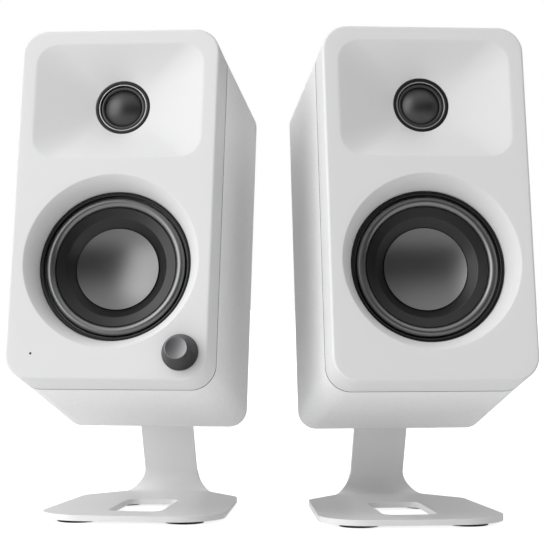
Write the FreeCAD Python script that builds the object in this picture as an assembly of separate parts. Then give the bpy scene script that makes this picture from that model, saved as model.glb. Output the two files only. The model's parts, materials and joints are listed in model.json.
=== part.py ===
"""A pair of small two-way desktop speakers on bent-plate stands, in millimetres.

Cabinet pieces are drawn in the cabinet frame: x is lateral, y is the depth behind the front face and
z runs up the face from its bottom edge. The stands are drawn in the unit frame, level with the desk:
y is the level distance behind the face's bottom edge and z the height above the desk. Each unit is
then turned and set down. The row's origin is the bottom centre of the whole pair.
"""
import FreeCAD, Part
import math
import os

V = FreeCAD.Vector
BACKWARD = V(0, 1, 0)
LATERAL = V(1, 0, 0)
UP = V(0, 0, 1)

# ---- placing of the two units on the desk
UNIT_SPACING = 159.5
RIGHT_FORWARD = 16.2
LEFT_YAW = -7.6
RIGHT_YAW = 6.5
TILT_BACK = 13.5
FACE_LIFT = 75.6

# ---- cabinet
SIDE_MARGIN = 6.3
BOTTOM_MARGIN = 15.6
DRIVER_GAP = 8.7
TOP_MARGIN = 7.3
CABINET_D = 137.0
CORNER_R = 12.4
WALL = 3.0
FACE_EDGE_R = 1.3
SEAM_GROOVE = 0.5
BAFFLE_D = 27.0
PANEL_T = 4.0
PANEL_RECESS = 1.0
PANEL_GAP = 0.2
CORNER_BLOCK = 12.0
CORNER_BLOCK_D = 14.0
TAB_T = 3.0
POST_R = 4.0
POST_MARGIN = 1.0
TOP_POST_SHIFT = 2.0

# ---- woofer, radii from its axis and depths behind the face
WOOFER_OPENING_R = 38.0
WOOFER_FLARE = 5.7
WOOFER_RING_D = 12.3
WOOFER_RING_T = 2.7
TRIM_RING_W = 1.9
TRIM_RING_CHAMFER = 0.5
BASKET_OVERLAP = 6.5
BASKET_T = 1.5
BASKET_D = 21.5
BASKET_FLOOR_T = 2.0
BASKET_FLARE_W = 2.5
COIL_HOLE_GAP = 1.0
SPIDER_SEAT = 7.0
SPIDER_STEP = 0.5
WINDOW_SHIFT = 5.0
WINDOW_HALF_REACH = 12.0
WINDOW_HALF_W = 10.0
WINDOW_MARGIN = 1.0
BASKET_WINDOWS = 6
SCREW_LAND = 3.8
ROLL_R = 2.7
ROLL_T = 0.6
SURROUND_LAND = 0.9
CONE_T = 0.7
CONE_DROP = 12.7
SHOULDER_W = 4.7
SHOULDER_DROP = 1.4
CONE_FOOT_MARGIN = 0.3
CONE_FOOT_DROP = 5.2
DUST_CAP_R = 20.6
DUST_CAP_DISH = 4.4
DUST_CAP_DROP = 4.7
COIL_INNER_R = 12.7
COIL_T = 0.5
COIL_L = 17.5
MAGNETIC_GAP = 0.4
MAGNET_BORE_GAP = 2.5
PLATE_STEP = 3.0
TOP_PLATE_T = 4.0
MAGNET_R = 30.0
MAGNET_T = 12.0
YOKE_T = 4.0
WOOFER_TRAVEL = 3.0

# ---- tweeter and its waveguide
MOUTH_HALF_W = 42.5
MOUTH_HALF_H = 29.5
MOUTH_CORNER_R = 11.0
THROAT_R = 13.9
THROAT_D = 12.0
THROAT_WALL = 2.5
CREASE_SPAN = 20.0
TWEETER_RING_W = 1.5
SILVER_RING_W = 0.6
TWEETER_FLANGE_W = 6.1
TWEETER_FLANGE_T = 2.5
DIAPHRAGM_BORE_MARGIN = 1.0
DOME_R = 9.4
DOME_RISE = 3.8
DOME_T = 0.35
TWEETER_COIL_L = 5.2
TWEETER_MOTOR_D = 13.0
TWEETER_MOTOR_R = 15.0
TWEETER_PLATE_T = 2.5
TWEETER_CUP_T = 2.0
TWEETER_POLE_STEP = 1.0

# ---- bass port, in the rear panel
PORT_R = 12.0
PORT_WALL = 2.0
PORT_L = 64.0
PORT_FLARE = 5.0
PORT_V = 132.0

# ---- front controls
KNOB_INSET = 13.5
KNOB_BASE_R = 9.0
KNOB_TOP_R = 5.8
KNOB_L = 11.5
KNOB_GAP = 0.6
KNOB_DISH = 0.5
KNOB_LIP = 0.4
SHAFT_R = 3.0
SHAFT_IN_KNOB = 8.0
ENCODER_W = 12.0
ENCODER_T = 6.0
BUSHING_R = 4.2
BUSHING_L = 2.0
LED_INSET = 12.8
LED_R = 0.6
LED_BODY_R = 2.0
LED_BODY_L = 6.0

# ---- rear controls and sockets, heights up the rear panel
COLUMN_INSET = 22.0
TERMINAL_V = 27.0
AUX_V = 50.0
RCA_V = 64.0
RCA_PITCH = 15.0
DC_V = 27.0
ROCKER_V = 54.0
TERMINAL_W = 26.0
TERMINAL_H = 24.0
TERMINAL_T = 4.0
TERMINAL_STEP = 1.5
TERMINAL_BODY_D = 12.0
POCKET_W = 9.8
POCKET_H = 16.5
POCKET_D = 6.0
LEVER_PITCH = 11.2
LEVER_T = 2.2
LEVER_SIDE_GAP = 0.3
LEVER_END_GAP = 0.7
BARREL_END_GAP = 0.5
STUB_L = 0.5
STUB_END_WALL = 0.2
BARREL_R = 1.3
STUB_R = 0.8
ROCKER_W = 12.6
ROCKER_H = 18.6
ROCKER_TILT = 8.0
ROCKER_STUB_R = 1.2
ROCKER_PIVOT_D = 4.5
ROCKER_END_GAP = 1.1
ROCKER_FLOOR_D = 6.0
ROCKER_END_T = 5.0
ROCKER_MID_T = 4.0
ROCKER_UNDER_T = 3.0
HOUSING_WALL = 1.8
RCA_BARREL_R = 4.15
RCA_BARREL_L = 9.0
RCA_COLLAR_R = 5.2
RCA_BODY_HALF_W = 6.0
RCA_CONTACT_R = 1.66
AUX_BORE_R = 1.8
AUX_BORE_L = 15.0
AUX_NOSE_WALL = 2.1
AUX_NOSE_L = 1.0
AUX_BODY_HALF_W = 4.5
AUX_BODY_HALF_H = 6.0
DC_BORE_R = 3.1
DC_BORE_L = 9.5
DC_PIN_R = 1.0
DC_PIN_SET_BACK = 1.0
DC_BODY_HALF_W = 4.5
DC_BODY_HALF_H = 5.5

# ---- circuit boards
BOARD_T = 1.6
BOARD_STANDOFF = 18.4
BOARD_BOTTOM = 12.0
BOARD_H = 85.0
STANDOFF_R = 3.0
BOARD_EDGE_MARGIN = 2.0
SINK_V = 22.0
SINK_HALF_W = 22.0
SINK_T = 6.0
SINK_D = 16.0
FIN_COUNT = 7
FIN_PITCH = 7.0
FIN_T = 2.0
FIN_H = 18.0
PARTS_V = -22.0
CAPACITOR_X = (-24.0, -10.0)
CAPACITOR_R = 6.0
CAPACITOR_L = 22.0
INDUCTOR_X = (8.0, 24.0)
INDUCTOR_W = 12.0
INDUCTOR_T = 10.0
WINDING_X = -16.0
WINDING_R = 13.0
WINDING_BORE_R = 6.0
WINDING_T = 12.0
FILM_X = 17.0
FILM_V = 12.0
FILM_W = 24.0
FILM_H = 16.0
FILM_T = 10.0

# ---- stand
FOOT_T = 1.6
FOOT_R = 10.0
PLATE_T = 3.0
STRAP_W = 29.0
STRAP_LEAN = 26.4
FLANGE_BOTTOM_V = 44.07
BEND_R = 8.0
FLANGE_TOP_V = 84.0
FLANGE_CORNER_R = 6.0
PAD_T = 2.0
PAD_MARGIN = 2.0
BASE_NOSE_Y = 47.0
BASE_FRONT_Y = 56.5
BASE_FRONT_HALF_W = 43.5
BASE_REAR_SETBACK = 47.0
BASE_REAR_HALF_W = 38.5
BASE_NECK_SETBACK = 18.0
BASE_BOW_R = 155.0
BASE_CORNER_R = 8.0
BASE_NECK_R = 28.0
SLOT_HALF_W = 14.0
SLOT_FRONT_Y = 71.0
SLOT_REAR_SETBACK = 55.0
SLOT_CORNER_R = 13.72
FRONT_FOOT = (28.0, 64.0)
REAR_FOOT_X = 20.0
REAR_FOOT_SETBACK = 39.0

# ---- fasteners
SCREW_R = 1.5
SCREW_L = 7.0
SCREW_HEAD_R = 2.8
SCREW_HEAD_T = 2.0
STAND_SCREW_R = 2.5
STAND_SCREW_HEAD_R = 5.0
STAND_SCREW_HEAD_T = 3.0
STAND_SCREW_GRIP = 10.0
STAND_SCREW_V = (56.0, 74.0)

# ---- clearances
RUNNING_FIT = 0.05
SLIP_GAP = 0.15
FREE_GAP = 0.3

# ---- sizes that follow from those above
WOOFER_MOUTH_R = WOOFER_OPENING_R + WOOFER_FLARE
CABINET_W = 2 * (WOOFER_MOUTH_R + SIDE_MARGIN)
WOOFER_V = BOTTOM_MARGIN + WOOFER_MOUTH_R
TWEETER_V = WOOFER_V + WOOFER_MOUTH_R + DRIVER_GAP + MOUTH_HALF_H
CABINET_H = TWEETER_V + MOUTH_HALF_H + TOP_MARGIN
HALF_W = CABINET_W / 2
PANEL_OUT_D = CABINET_D - PANEL_RECESS
PANEL_IN_D = PANEL_OUT_D - PANEL_T
BASKET_FRONT_D = WOOFER_RING_D + WOOFER_RING_T
BASKET_R = WOOFER_OPENING_R + BASKET_OVERLAP
BASKET_SCREW_R = WOOFER_OPENING_R + SCREW_LAND
MOTOR_D = BASKET_FRONT_D + BASKET_D
SURROUND_OUT_R = WOOFER_OPENING_R - SLIP_GAP - TRIM_RING_W - SLIP_GAP
ROLL_OUT_R = SURROUND_OUT_R - SURROUND_LAND + ROLL_T
ROLL_IN_R = ROLL_OUT_R - 2 * ROLL_R
CONE_EDGE_R = ROLL_IN_R - SLIP_GAP
CONE_EDGE_D = BASKET_FRONT_D - ROLL_T - CONE_T
COIL_OUT_R = COIL_INNER_R + COIL_T
COIL_FRONT_D = CONE_EDGE_D + CONE_DROP
TWEETER_LAND_D = THROAT_D + THROAT_WALL
TWEETER_BACK_D = TWEETER_LAND_D + TWEETER_FLANGE_T
KNOB_X = HALF_W - KNOB_INSET
LED_X = LED_INSET - HALF_W
COLUMN_X = HALF_W - COLUMN_INSET
BOARD_D = PANEL_IN_D - BOARD_STANDOFF
BOARD_HALF_W = HALF_W - WALL - CORNER_BLOCK
PLATE_TOP_Z = FOOT_T + PLATE_T
FLANGE_D = PANEL_OUT_D + PAD_T
CORNER_INSET = WALL + CORNER_BLOCK / 2
CORNER_X = HALF_W - CORNER_INSET
CORNERS = [(x, v) for x in (-CORNER_X, CORNER_X) for v in (CORNER_INSET, CABINET_H - CORNER_INSET)]
MID_V = WOOFER_V + WOOFER_MOUTH_R + DRIVER_GAP / 2 - POST_R
POST_INSET = WALL + POST_R + POST_MARGIN
TOP_POST_INSET = POST_INSET + TOP_POST_SHIFT
POSTS = [
    (HALF_W - POST_INSET, MID_V),
    (POST_INSET - HALF_W, MID_V),
    (HALF_W - TOP_POST_INSET, CABINET_H - TOP_POST_INSET),
    (TOP_POST_INSET - HALF_W, CABINET_H - TOP_POST_INSET),
    (0.0, POST_INSET),
]
STANDOFFS = [
    (BOARD_HALF_W - STANDOFF_R, BOARD_BOTTOM + BOARD_H - STANDOFF_R - BOARD_EDGE_MARGIN),
    (STANDOFF_R - BOARD_HALF_W, BOARD_BOTTOM + BOARD_H - STANDOFF_R - BOARD_EDGE_MARGIN),
    (0.0, BOARD_BOTTOM + 2.0 * STANDOFF_R),
]


# ---- drawing helpers

def rounded_wire(points, radii):
    """Closed outline through the corner points, each corner rounded to its own radius, 0 for sharp."""
    corners = []
    for i, corner in enumerate(points):
        back = points[i - 1] - corner
        ahead = points[(i + 1) % len(points)] - corner
        back.normalize()
        ahead.normalize()
        half = back.getAngle(ahead) / 2
        reach = radii[i] / math.tan(half)
        inward = back + ahead
        inward.normalize()
        middle = corner + inward * (radii[i] / math.sin(half) - radii[i])
        corners.append((corner + back * reach, middle, corner + ahead * reach))
    edges = []
    for i, (start, middle, end) in enumerate(corners):
        if radii[i] > 0:
            edges.append(Part.Arc(start, middle, end).toShape())
        next_start = corners[(i + 1) % len(corners)][0]
        if end.distanceToPoint(next_start) > 1e-6:
            edges.append(Part.makeLine(end, next_start))
    return Part.Wire(edges)


def rectangle_wire(half_w, low, high, radius, depth, x=0.0):
    """Rounded rectangle in the plane at one depth."""
    points = [
        V(x - half_w, depth, low),
        V(x + half_w, depth, low),
        V(x + half_w, depth, high),
        V(x - half_w, depth, high),
    ]
    return rounded_wire(points, [radius] * 4)


def prism(half_w, low, high, radius, near, far, x=0.0):
    """Rounded rectangle carried from one depth to another."""
    wire = rectangle_wire(half_w, low, high, radius, near, x)
    return Part.Face(wire).extrude(V(0, far - near, 0))


def block(x, v, half_w, half_h, near, far):
    """Plain box about a point of the face, between two depths."""
    return Part.makeBox(2 * half_w, far - near, 2 * half_h, V(x - half_w, near, v - half_h))


def cabinet_prism(inset, near, far):
    """The cabinet's outline, drawn in by an inset, between two depths."""
    return prism(HALF_W - inset, inset, CABINET_H - inset, CORNER_R - inset, near, far)


def rod(radius, near, far, x=0.0, v=0.0):
    """Round bar along the depth."""
    return Part.makeCylinder(radius, far - near, V(x, near, v), BACKWARD)


def cross_rod(radius, x0, x1, depth, v):
    """Round bar along the lateral axis."""
    return Part.makeCylinder(radius, x1 - x0, V(x0, depth, v), LATERAL)


def turned(steps, x=0.0, v=0.0):
    """Solid of revolution about a depth-wise axis.

    Each step is two (radius, depth) points for a straight stretch or three for an arc, end to end.
    """
    edges = []
    for step in steps:
        points = [V(radius, depth, 0) for radius, depth in step]
        if len(points) == 2:
            edges.append(Part.makeLine(points[0], points[1]))
        else:
            edges.append(Part.Arc(points[0], points[1], points[2]).toShape())
    solid = Part.Face(Part.Wire(edges)).revolve(V(0, 0, 0), BACKWARD, 360)
    solid.translate(V(x, 0, v))
    return solid


def turned_polygon(points, x=0.0, v=0.0):
    """Solid of revolution with a straight-sided section of (radius, depth) corners."""
    steps = [(points[i - 1], points[i]) for i in range(len(points))]
    return turned(steps, x, v)


def cap_arc(radius, rim_depth, centre_depth):
    """Arc of a spherical cap as (radius, depth) points, from its pole to its rim."""
    rise = rim_depth - centre_depth
    sphere_r = (radius * radius + rise * rise) / (2 * abs(rise))
    half_rise = sphere_r - math.sqrt(sphere_r * sphere_r - radius * radius / 4)
    mid_depth = centre_depth + math.copysign(half_rise, rise)
    return (0, centre_depth), (radius / 2, mid_depth), (radius, rim_depth)


def dished(radius, rim_depth, centre_depth, thickness, x, v):
    """Round shell of even thickness whose centre stands before or behind its rim."""
    front = cap_arc(radius, rim_depth, centre_depth)
    back = cap_arc(radius, rim_depth + thickness, centre_depth + thickness)
    steps = [front, (front[2], back[2]), tuple(reversed(back)), (back[0], front[0])]
    return turned(steps, x, v)


def throat_wire(radius, depth, v):
    """Circle in eight arcs, four short ones facing the mouth's corners."""
    diagonal = math.degrees(math.atan2(MOUTH_HALF_H, MOUTH_HALF_W))
    half = CREASE_SPAN / 2
    marks = []
    for middle in (180 + diagonal, -diagonal, diagonal, 180 - diagonal):
        marks += [middle - half, middle + half]
    if marks[2] < marks[1]:
        marks[2:] = [mark + 360 for mark in marks[2:]]
    edges = []
    for i, start in enumerate(marks):
        end = marks[(i + 1) % 8]
        while end < start:
            end += 360
        points = [
            V(radius * math.cos(math.radians(a)), depth, v + radius * math.sin(math.radians(a)))
            for a in (start, (start + end) / 2, end)
        ]
        edges.append(Part.Arc(points[0], points[1], points[2]).toShape())
    return Part.Wire(edges)


def waveguide(grow, near, far, throat_radius):
    """Pyramid-like flare from the rounded rectangular mouth to the round throat."""
    mouth = rectangle_wire(
        MOUTH_HALF_W + grow,
        TWEETER_V - MOUTH_HALF_H - grow,
        TWEETER_V + MOUTH_HALF_H + grow,
        MOUTH_CORNER_R + grow,
        near,
    )
    return Part.makeLoft([mouth, throat_wire(throat_radius, far, TWEETER_V)], True, True)


def cabinet_to_unit(shape):
    """Tilt a cabinet piece back and lift it to its height above the desk."""
    moved = shape.copy()
    moved.rotate(V(0, 0, 0), LATERAL, -TILT_BACK)
    moved.translate(V(0, 0, FACE_LIFT))
    return moved


def unit_to_desk(shape, side):
    """Turn a unit about the vertical and set it down on its side of the desk."""
    yaw = LEFT_YAW if side == "left" else RIGHT_YAW
    x = -UNIT_SPACING / 2 if side == "left" else UNIT_SPACING / 2
    y = 0.0 if side == "left" else -RIGHT_FORWARD
    moved = shape.copy()
    moved.rotate(V(0, 0, 0), UP, yaw)
    moved.translate(V(x, y, 0))
    return moved


# ---- cabinet

def front_baffle(active):
    """Moulded front with the woofer's flared recess, the waveguide, its walls and screw posts."""
    outer = cabinet_prism(0, 0, BAFFLE_D)
    face_edges = [e for e in outer.Edges if e.BoundBox.YMax < 1e-6]
    outer = outer.makeFillet(FACE_EDGE_R, face_edges)
    back_edges = [e for e in outer.Edges if e.BoundBox.YMin > BAFFLE_D - 1e-6]
    outer = outer.makeChamfer(SEAM_GROOVE, back_edges)
    hollow = cabinet_prism(WALL, WALL, BAFFLE_D + 1)
    kept = [
        rod(BASKET_R, 0, BASKET_FRONT_D, 0, WOOFER_V),
        waveguide(WALL, 0, TWEETER_LAND_D, THROAT_R + TWEETER_FLANGE_W + WALL / 2),
    ]
    for x, v in POSTS:
        kept.append(rod(POST_R, WALL, BAFFLE_D, x, v))
    body = outer.cut(hollow.cut(kept))
    away = [
        turned_polygon(
            [
                (0, -WOOFER_FLARE),
                (WOOFER_MOUTH_R + WOOFER_FLARE * WOOFER_FLARE / WOOFER_RING_D, -WOOFER_FLARE),
                (WOOFER_OPENING_R, WOOFER_RING_D),
                (WOOFER_OPENING_R, BAFFLE_D),
                (0, BAFFLE_D),
            ],
            0,
            WOOFER_V,
        ),
        waveguide(0, 0, THROAT_D, THROAT_R),
        rod(THROAT_R, THROAT_D, BAFFLE_D, 0, TWEETER_V),
    ]
    for x, v in POSTS:
        away.append(rod(SCREW_R + RUNNING_FIT, BAFFLE_D - SCREW_L, BAFFLE_D, x, v))
    for x, v in basket_screws():
        away.append(rod(SCREW_R + RUNNING_FIT, BASKET_FRONT_D + BASKET_T - SCREW_L, BASKET_FRONT_D, x, v))
    if active:
        away.append(rod(SHAFT_R + FREE_GAP, -1, WALL + 1, KNOB_X, KNOB_INSET))
        away.append(rod(LED_R + RUNNING_FIT, -1, WALL + 1, LED_X, LED_INSET))
    return body.cut(away)


def basket_screws():
    """Centres of the four screws that hold the woofer's basket."""
    reach = BASKET_SCREW_R * math.sqrt(0.5)
    return [(sx * reach, WOOFER_V + sv * reach) for sx in (-1, 1) for sv in (-1, 1)]


def cabinet_shell():
    """Sleeve behind the seam, with tabs for the baffle's screws and blocks for the rear panel's."""
    shell = cabinet_prism(0, BAFFLE_D, CABINET_D)
    rim = [e for e in shell.Edges if e.BoundBox.YMin > CABINET_D - 1e-6]
    shell = shell.makeFillet(FACE_EDGE_R, rim)
    inner = cabinet_prism(WALL, BAFFLE_D - 1, CABINET_D + 1)
    solid_outline = cabinet_prism(WALL / 2, BAFFLE_D, PANEL_IN_D)
    added = []
    for x, v in POSTS:
        side = 0 if x == 0 else math.copysign(POST_INSET / 2, x)
        drop = -POST_INSET / 2 if x == 0 else 0
        half_w = POST_R if x == 0 else POST_R + POST_INSET / 2
        half_h = POST_R + POST_INSET / 2 if x == 0 else POST_R
        added.append(block(x + side, v + drop, half_w, half_h, BAFFLE_D, BAFFLE_D + TAB_T))
    for x, v in CORNERS:
        half = CORNER_BLOCK / 2 + WALL
        shift = math.copysign(WALL, v - CABINET_H / 2)
        near = PANEL_IN_D - CORNER_BLOCK_D
        added.append(block(x + math.copysign(WALL, x), v + shift, half, half, near, PANEL_IN_D))
    added = [piece.common(solid_outline) for piece in added]
    body = shell.cut(inner).fuse(added).removeSplitter()
    away = [rod(SCREW_R + FREE_GAP, BAFFLE_D - 1, BAFFLE_D + TAB_T + 1, x, v) for x, v in POSTS]
    for x, v in CORNERS:
        away.append(rod(SCREW_R + RUNNING_FIT, PANEL_OUT_D - SCREW_HEAD_T - SCREW_L, PANEL_IN_D + 1, x, v))
    return body.cut(away)


def rear_panel(active):
    """Back of the cabinet with the moulded bass port, board standoffs and stand bosses."""
    plate = cabinet_prism(WALL + PANEL_GAP, PANEL_IN_D, PANEL_OUT_D)
    port_out_r = PORT_R + PORT_WALL
    added = [rod(port_out_r, PANEL_OUT_D - PORT_L, PANEL_OUT_D, 0, PORT_V)]
    for x, v in STANDOFFS:
        added.append(rod(STANDOFF_R, BOARD_D + BOARD_T, PANEL_OUT_D, x, v))
    for v in STAND_SCREW_V:
        added.append(rod(2 * STAND_SCREW_R, stand_screw_tip() - 1, PANEL_OUT_D, 0, v))
    if active:
        added.append(block(COLUMN_X, ROCKER_V, rocker_pocket_w() + HOUSING_WALL,
                           rocker_pocket_h() + HOUSING_WALL, rocker_floor() - HOUSING_WALL, PANEL_OUT_D))
    body = plate.fuse(added).removeSplitter()
    bulge = PORT_FLARE * (1 - math.sqrt(0.5))
    flare = turned(
        [
            ((0, PANEL_OUT_D - PORT_FLARE), (PORT_R, PANEL_OUT_D - PORT_FLARE)),
            (
                (PORT_R, PANEL_OUT_D - PORT_FLARE),
                (PORT_R + bulge, PANEL_OUT_D - bulge),
                (PORT_R + PORT_FLARE, PANEL_OUT_D),
            ),
            ((PORT_R + PORT_FLARE, PANEL_OUT_D), (PORT_R + PORT_FLARE, PANEL_OUT_D + 1)),
            ((PORT_R + PORT_FLARE, PANEL_OUT_D + 1), (0, PANEL_OUT_D + 1)),
            ((0, PANEL_OUT_D + 1), (0, PANEL_OUT_D - PORT_FLARE)),
        ],
        0,
        PORT_V,
    )
    away = [flare, rod(PORT_R, PANEL_OUT_D - PORT_L - 1, PANEL_OUT_D, 0, PORT_V)]
    for x, v in CORNERS:
        away.append(rod(SCREW_HEAD_R + FREE_GAP, PANEL_OUT_D - SCREW_HEAD_T, PANEL_OUT_D + 1, x, v))
        away.append(rod(SCREW_R + FREE_GAP, PANEL_IN_D - 1, PANEL_OUT_D, x, v))
    for v in STAND_SCREW_V:
        away.append(rod(STAND_SCREW_R + RUNNING_FIT, stand_screw_tip(), PANEL_OUT_D + 1, 0, v))
    away.append(block(-COLUMN_X, TERMINAL_V, terminal_body_w() + SLIP_GAP, terminal_body_h() + SLIP_GAP,
                      PANEL_IN_D - 1, PANEL_OUT_D + 1))
    if active:
        away.append(block(COLUMN_X, ROCKER_V, rocker_pocket_w(), rocker_pocket_h(), rocker_floor(),
                          PANEL_OUT_D + 1))
        bore = rocker_pocket_w() + HOUSING_WALL / 2
        away.append(cross_rod(ROCKER_STUB_R + RUNNING_FIT, COLUMN_X - bore, COLUMN_X + bore,
                              rocker_pivot_d(), ROCKER_V))
        away.append(block(COLUMN_X, DC_V, DC_BODY_HALF_W + SLIP_GAP, DC_BODY_HALF_H + SLIP_GAP,
                          PANEL_IN_D - 1, PANEL_OUT_D + 1))
        nose_r = AUX_BORE_R + AUX_NOSE_WALL + SLIP_GAP
        away.append(rod(nose_r, PANEL_IN_D - 1, PANEL_OUT_D + 1, -COLUMN_X, AUX_V))
        for v in rca_heights():
            away.append(rod(RCA_COLLAR_R + SLIP_GAP, PANEL_IN_D - 1, PANEL_OUT_D + 1, -COLUMN_X, v))
    return body.cut(away)


def stand_screw_tip():
    """Depth of a stand screw's tip inside the cabinet."""
    return PANEL_OUT_D - STAND_SCREW_GRIP


def screw(x, v, seat):
    """Pan-head screw on a seat depth, its shank running forward."""
    shank = rod(SCREW_R, seat - SCREW_L, seat, x, v)
    head = rod(SCREW_HEAD_R, seat, seat + SCREW_HEAD_T, x, v)
    return shank.fuse(head).removeSplitter()


def case_screws():
    """The small screws: baffle to shell, rear panel to shell and woofer to baffle."""
    places = [(x, v, BAFFLE_D + TAB_T) for x, v in POSTS]
    places += [(x, v, PANEL_OUT_D - SCREW_HEAD_T) for x, v in CORNERS]
    places += [(x, v, BASKET_FRONT_D + BASKET_T) for x, v in basket_screws()]
    return Part.makeCompound([screw(x, v, seat) for x, v, seat in places])


# ---- woofer

def woofer_basket():
    """Pressed frame: flange, windowed cone and the seat for spider and motor."""
    front = BASKET_FRONT_D
    back = MOTOR_D
    seat_d = back - SPIDER_SEAT
    floor = back - BASKET_FLOOR_T
    inner_r = SURROUND_OUT_R - SURROUND_LAND - ROLL_T
    step_r = MAGNET_R - SPIDER_STEP
    coil_hole_r = COIL_OUT_R + COIL_HOLE_GAP
    window_near = front + BASKET_T + 2 * WINDOW_MARGIN
    window_far = seat_d - WINDOW_MARGIN
    body = turned_polygon(
        [
            (inner_r, front),
            (BASKET_R, front),
            (BASKET_R, front + BASKET_T),
            (inner_r + BASKET_FLARE_W, front + BASKET_T),
            (MAGNET_R + BASKET_T, back),
            (coil_hole_r, back),
            (coil_hole_r, floor),
            (step_r, floor),
            (step_r, seat_d + BASKET_T),
            (step_r - BASKET_T, seat_d + BASKET_T),
            (step_r - BASKET_T, seat_d),
            (step_r + BASKET_T, seat_d),
            (inner_r, front + BASKET_T),
        ],
        0,
        WOOFER_V,
    )
    away = [rod(SCREW_R + FREE_GAP, front - 1, front + BASKET_T + 1, x, v) for x, v in basket_screws()]
    for i in range(BASKET_WINDOWS):
        x = MAGNET_R + WINDOW_SHIFT
        window = block(x, 0, WINDOW_HALF_REACH, WINDOW_HALF_W, window_near, window_far)
        window.rotate(V(0, 0, 0), BACKWARD, i * 360.0 / BASKET_WINDOWS)
        window.translate(V(0, 0, WOOFER_V))
        away.append(window)
    return body.cut(away)


def woofer_trim_ring():
    """Black ring that covers the basket's flange and the surround's edge."""
    outer = WOOFER_OPENING_R - SLIP_GAP
    inner = outer - TRIM_RING_W
    return turned_polygon(
        [
            (inner, BASKET_FRONT_D),
            (inner, WOOFER_RING_D + TRIM_RING_CHAMFER),
            (inner + TRIM_RING_CHAMFER, WOOFER_RING_D),
            (outer, WOOFER_RING_D),
            (outer, BASKET_FRONT_D),
        ],
        0,
        WOOFER_V,
    )


def woofer_surround():
    """Half-roll rubber edge between the cone and the basket."""
    foot = BASKET_FRONT_D
    lift = foot - ROLL_T
    middle = (ROLL_OUT_R + ROLL_IN_R) / 2
    inner_roll = ROLL_R - ROLL_T
    return turned(
        [
            ((SURROUND_OUT_R, foot), (SURROUND_OUT_R, lift)),
            ((SURROUND_OUT_R, lift), (middle + ROLL_R, lift)),
            ((middle + ROLL_R, lift), (middle, lift - ROLL_R), (middle - ROLL_R, lift)),
            ((middle - ROLL_R, lift), (middle - ROLL_R, foot)),
            ((middle - ROLL_R, foot), (middle - inner_roll, foot)),
            ((middle - inner_roll, foot), (middle - inner_roll, lift)),
            ((middle - inner_roll, lift), (middle, lift - inner_roll), (middle + inner_roll, lift)),
            ((middle + inner_roll, lift), (middle + inner_roll, foot)),
            ((middle + inner_roll, foot), (SURROUND_OUT_R, foot)),
        ],
        0,
        WOOFER_V,
    )


def woofer_cone():
    """Cone from the surround down to the voice coil, steeper inside its shoulder."""
    shoulder_r = CONE_EDGE_R - SHOULDER_W
    foot_r = DUST_CAP_R + CONE_FOOT_MARGIN
    front = [
        (CONE_EDGE_R, CONE_EDGE_D),
        (shoulder_r, CONE_EDGE_D + SHOULDER_DROP),
        (foot_r, CONE_EDGE_D + CONE_FOOT_DROP),
        (COIL_OUT_R, COIL_FRONT_D),
    ]
    back = [(radius, depth + CONE_T) for radius, depth in reversed(front)]
    return turned_polygon(front + back, 0, WOOFER_V)


def woofer_dust_cap():
    """Large dished cap over the coil."""
    rim = CONE_EDGE_D + DUST_CAP_DROP
    return dished(DUST_CAP_R, rim, rim + DUST_CAP_DISH, ROLL_T, 0, WOOFER_V)


def woofer_voice_coil():
    """Coil on its former, from the cone's neck into the magnetic gap."""
    return rod(COIL_OUT_R, COIL_FRONT_D, COIL_FRONT_D + COIL_L, 0, WOOFER_V).cut(
        rod(COIL_INNER_R, COIL_FRONT_D - 1, COIL_FRONT_D + COIL_L + 1, 0, WOOFER_V)
    )


def woofer_spider():
    """Springy disc that centres the coil; its edge sits on the basket's step."""
    seat_d = MOTOR_D - SPIDER_SEAT
    return rod(MAGNET_R + SPIDER_STEP, seat_d - ROLL_T, seat_d, 0, WOOFER_V).cut(
        rod(COIL_OUT_R + RUNNING_FIT, seat_d - 2, seat_d + 1, 0, WOOFER_V)
    )


def woofer_magnet():
    """Ring magnet."""
    near = MOTOR_D + TOP_PLATE_T
    return rod(MAGNET_R, near, near + MAGNET_T, 0, WOOFER_V).cut(
        rod(COIL_OUT_R + MAGNET_BORE_GAP, near - 1, near + MAGNET_T + 1, 0, WOOFER_V)
    )


def woofer_pole_pieces():
    """Steel plates on each side of the magnet; the rear one carries the pole."""
    plate = rod(MAGNET_R - PLATE_STEP, MOTOR_D, MOTOR_D + TOP_PLATE_T, 0, WOOFER_V).cut(
        rod(COIL_OUT_R + MAGNETIC_GAP, MOTOR_D - 1, MOTOR_D + TOP_PLATE_T + 1, 0, WOOFER_V)
    )
    near = MOTOR_D + TOP_PLATE_T + MAGNET_T
    yoke = rod(MAGNET_R - PLATE_STEP, near, near + YOKE_T, 0, WOOFER_V)
    pole = rod(COIL_INNER_R - MAGNETIC_GAP, MOTOR_D, near + 1, 0, WOOFER_V)
    vent = rod(COIL_INNER_R / 3, MOTOR_D - 1, near + YOKE_T + 1, 0, WOOFER_V)
    return Part.makeCompound([plate, yoke.fuse(pole).removeSplitter().cut(vent)])


# ---- tweeter

def tweeter_faceplate():
    """Black ring in the throat, with the flange that seats behind the baffle."""
    outer = THROAT_R - SLIP_GAP
    inner = outer - TWEETER_RING_W
    step = DOME_R + DIAPHRAGM_BORE_MARGIN
    return turned_polygon(
        [
            (inner, THROAT_D),
            (outer, THROAT_D),
            (outer, TWEETER_LAND_D),
            (THROAT_R + TWEETER_FLANGE_W, TWEETER_LAND_D),
            (THROAT_R + TWEETER_FLANGE_W, TWEETER_BACK_D),
            (step, TWEETER_BACK_D),
            (step, TWEETER_LAND_D + FREE_GAP),
            (inner, TWEETER_LAND_D + FREE_GAP),
        ],
        0,
        TWEETER_V,
    )


def silver_ring_outer():
    """Outer radius of the bright ring inside the faceplate."""
    return THROAT_R - SLIP_GAP - TWEETER_RING_W - RUNNING_FIT


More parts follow.
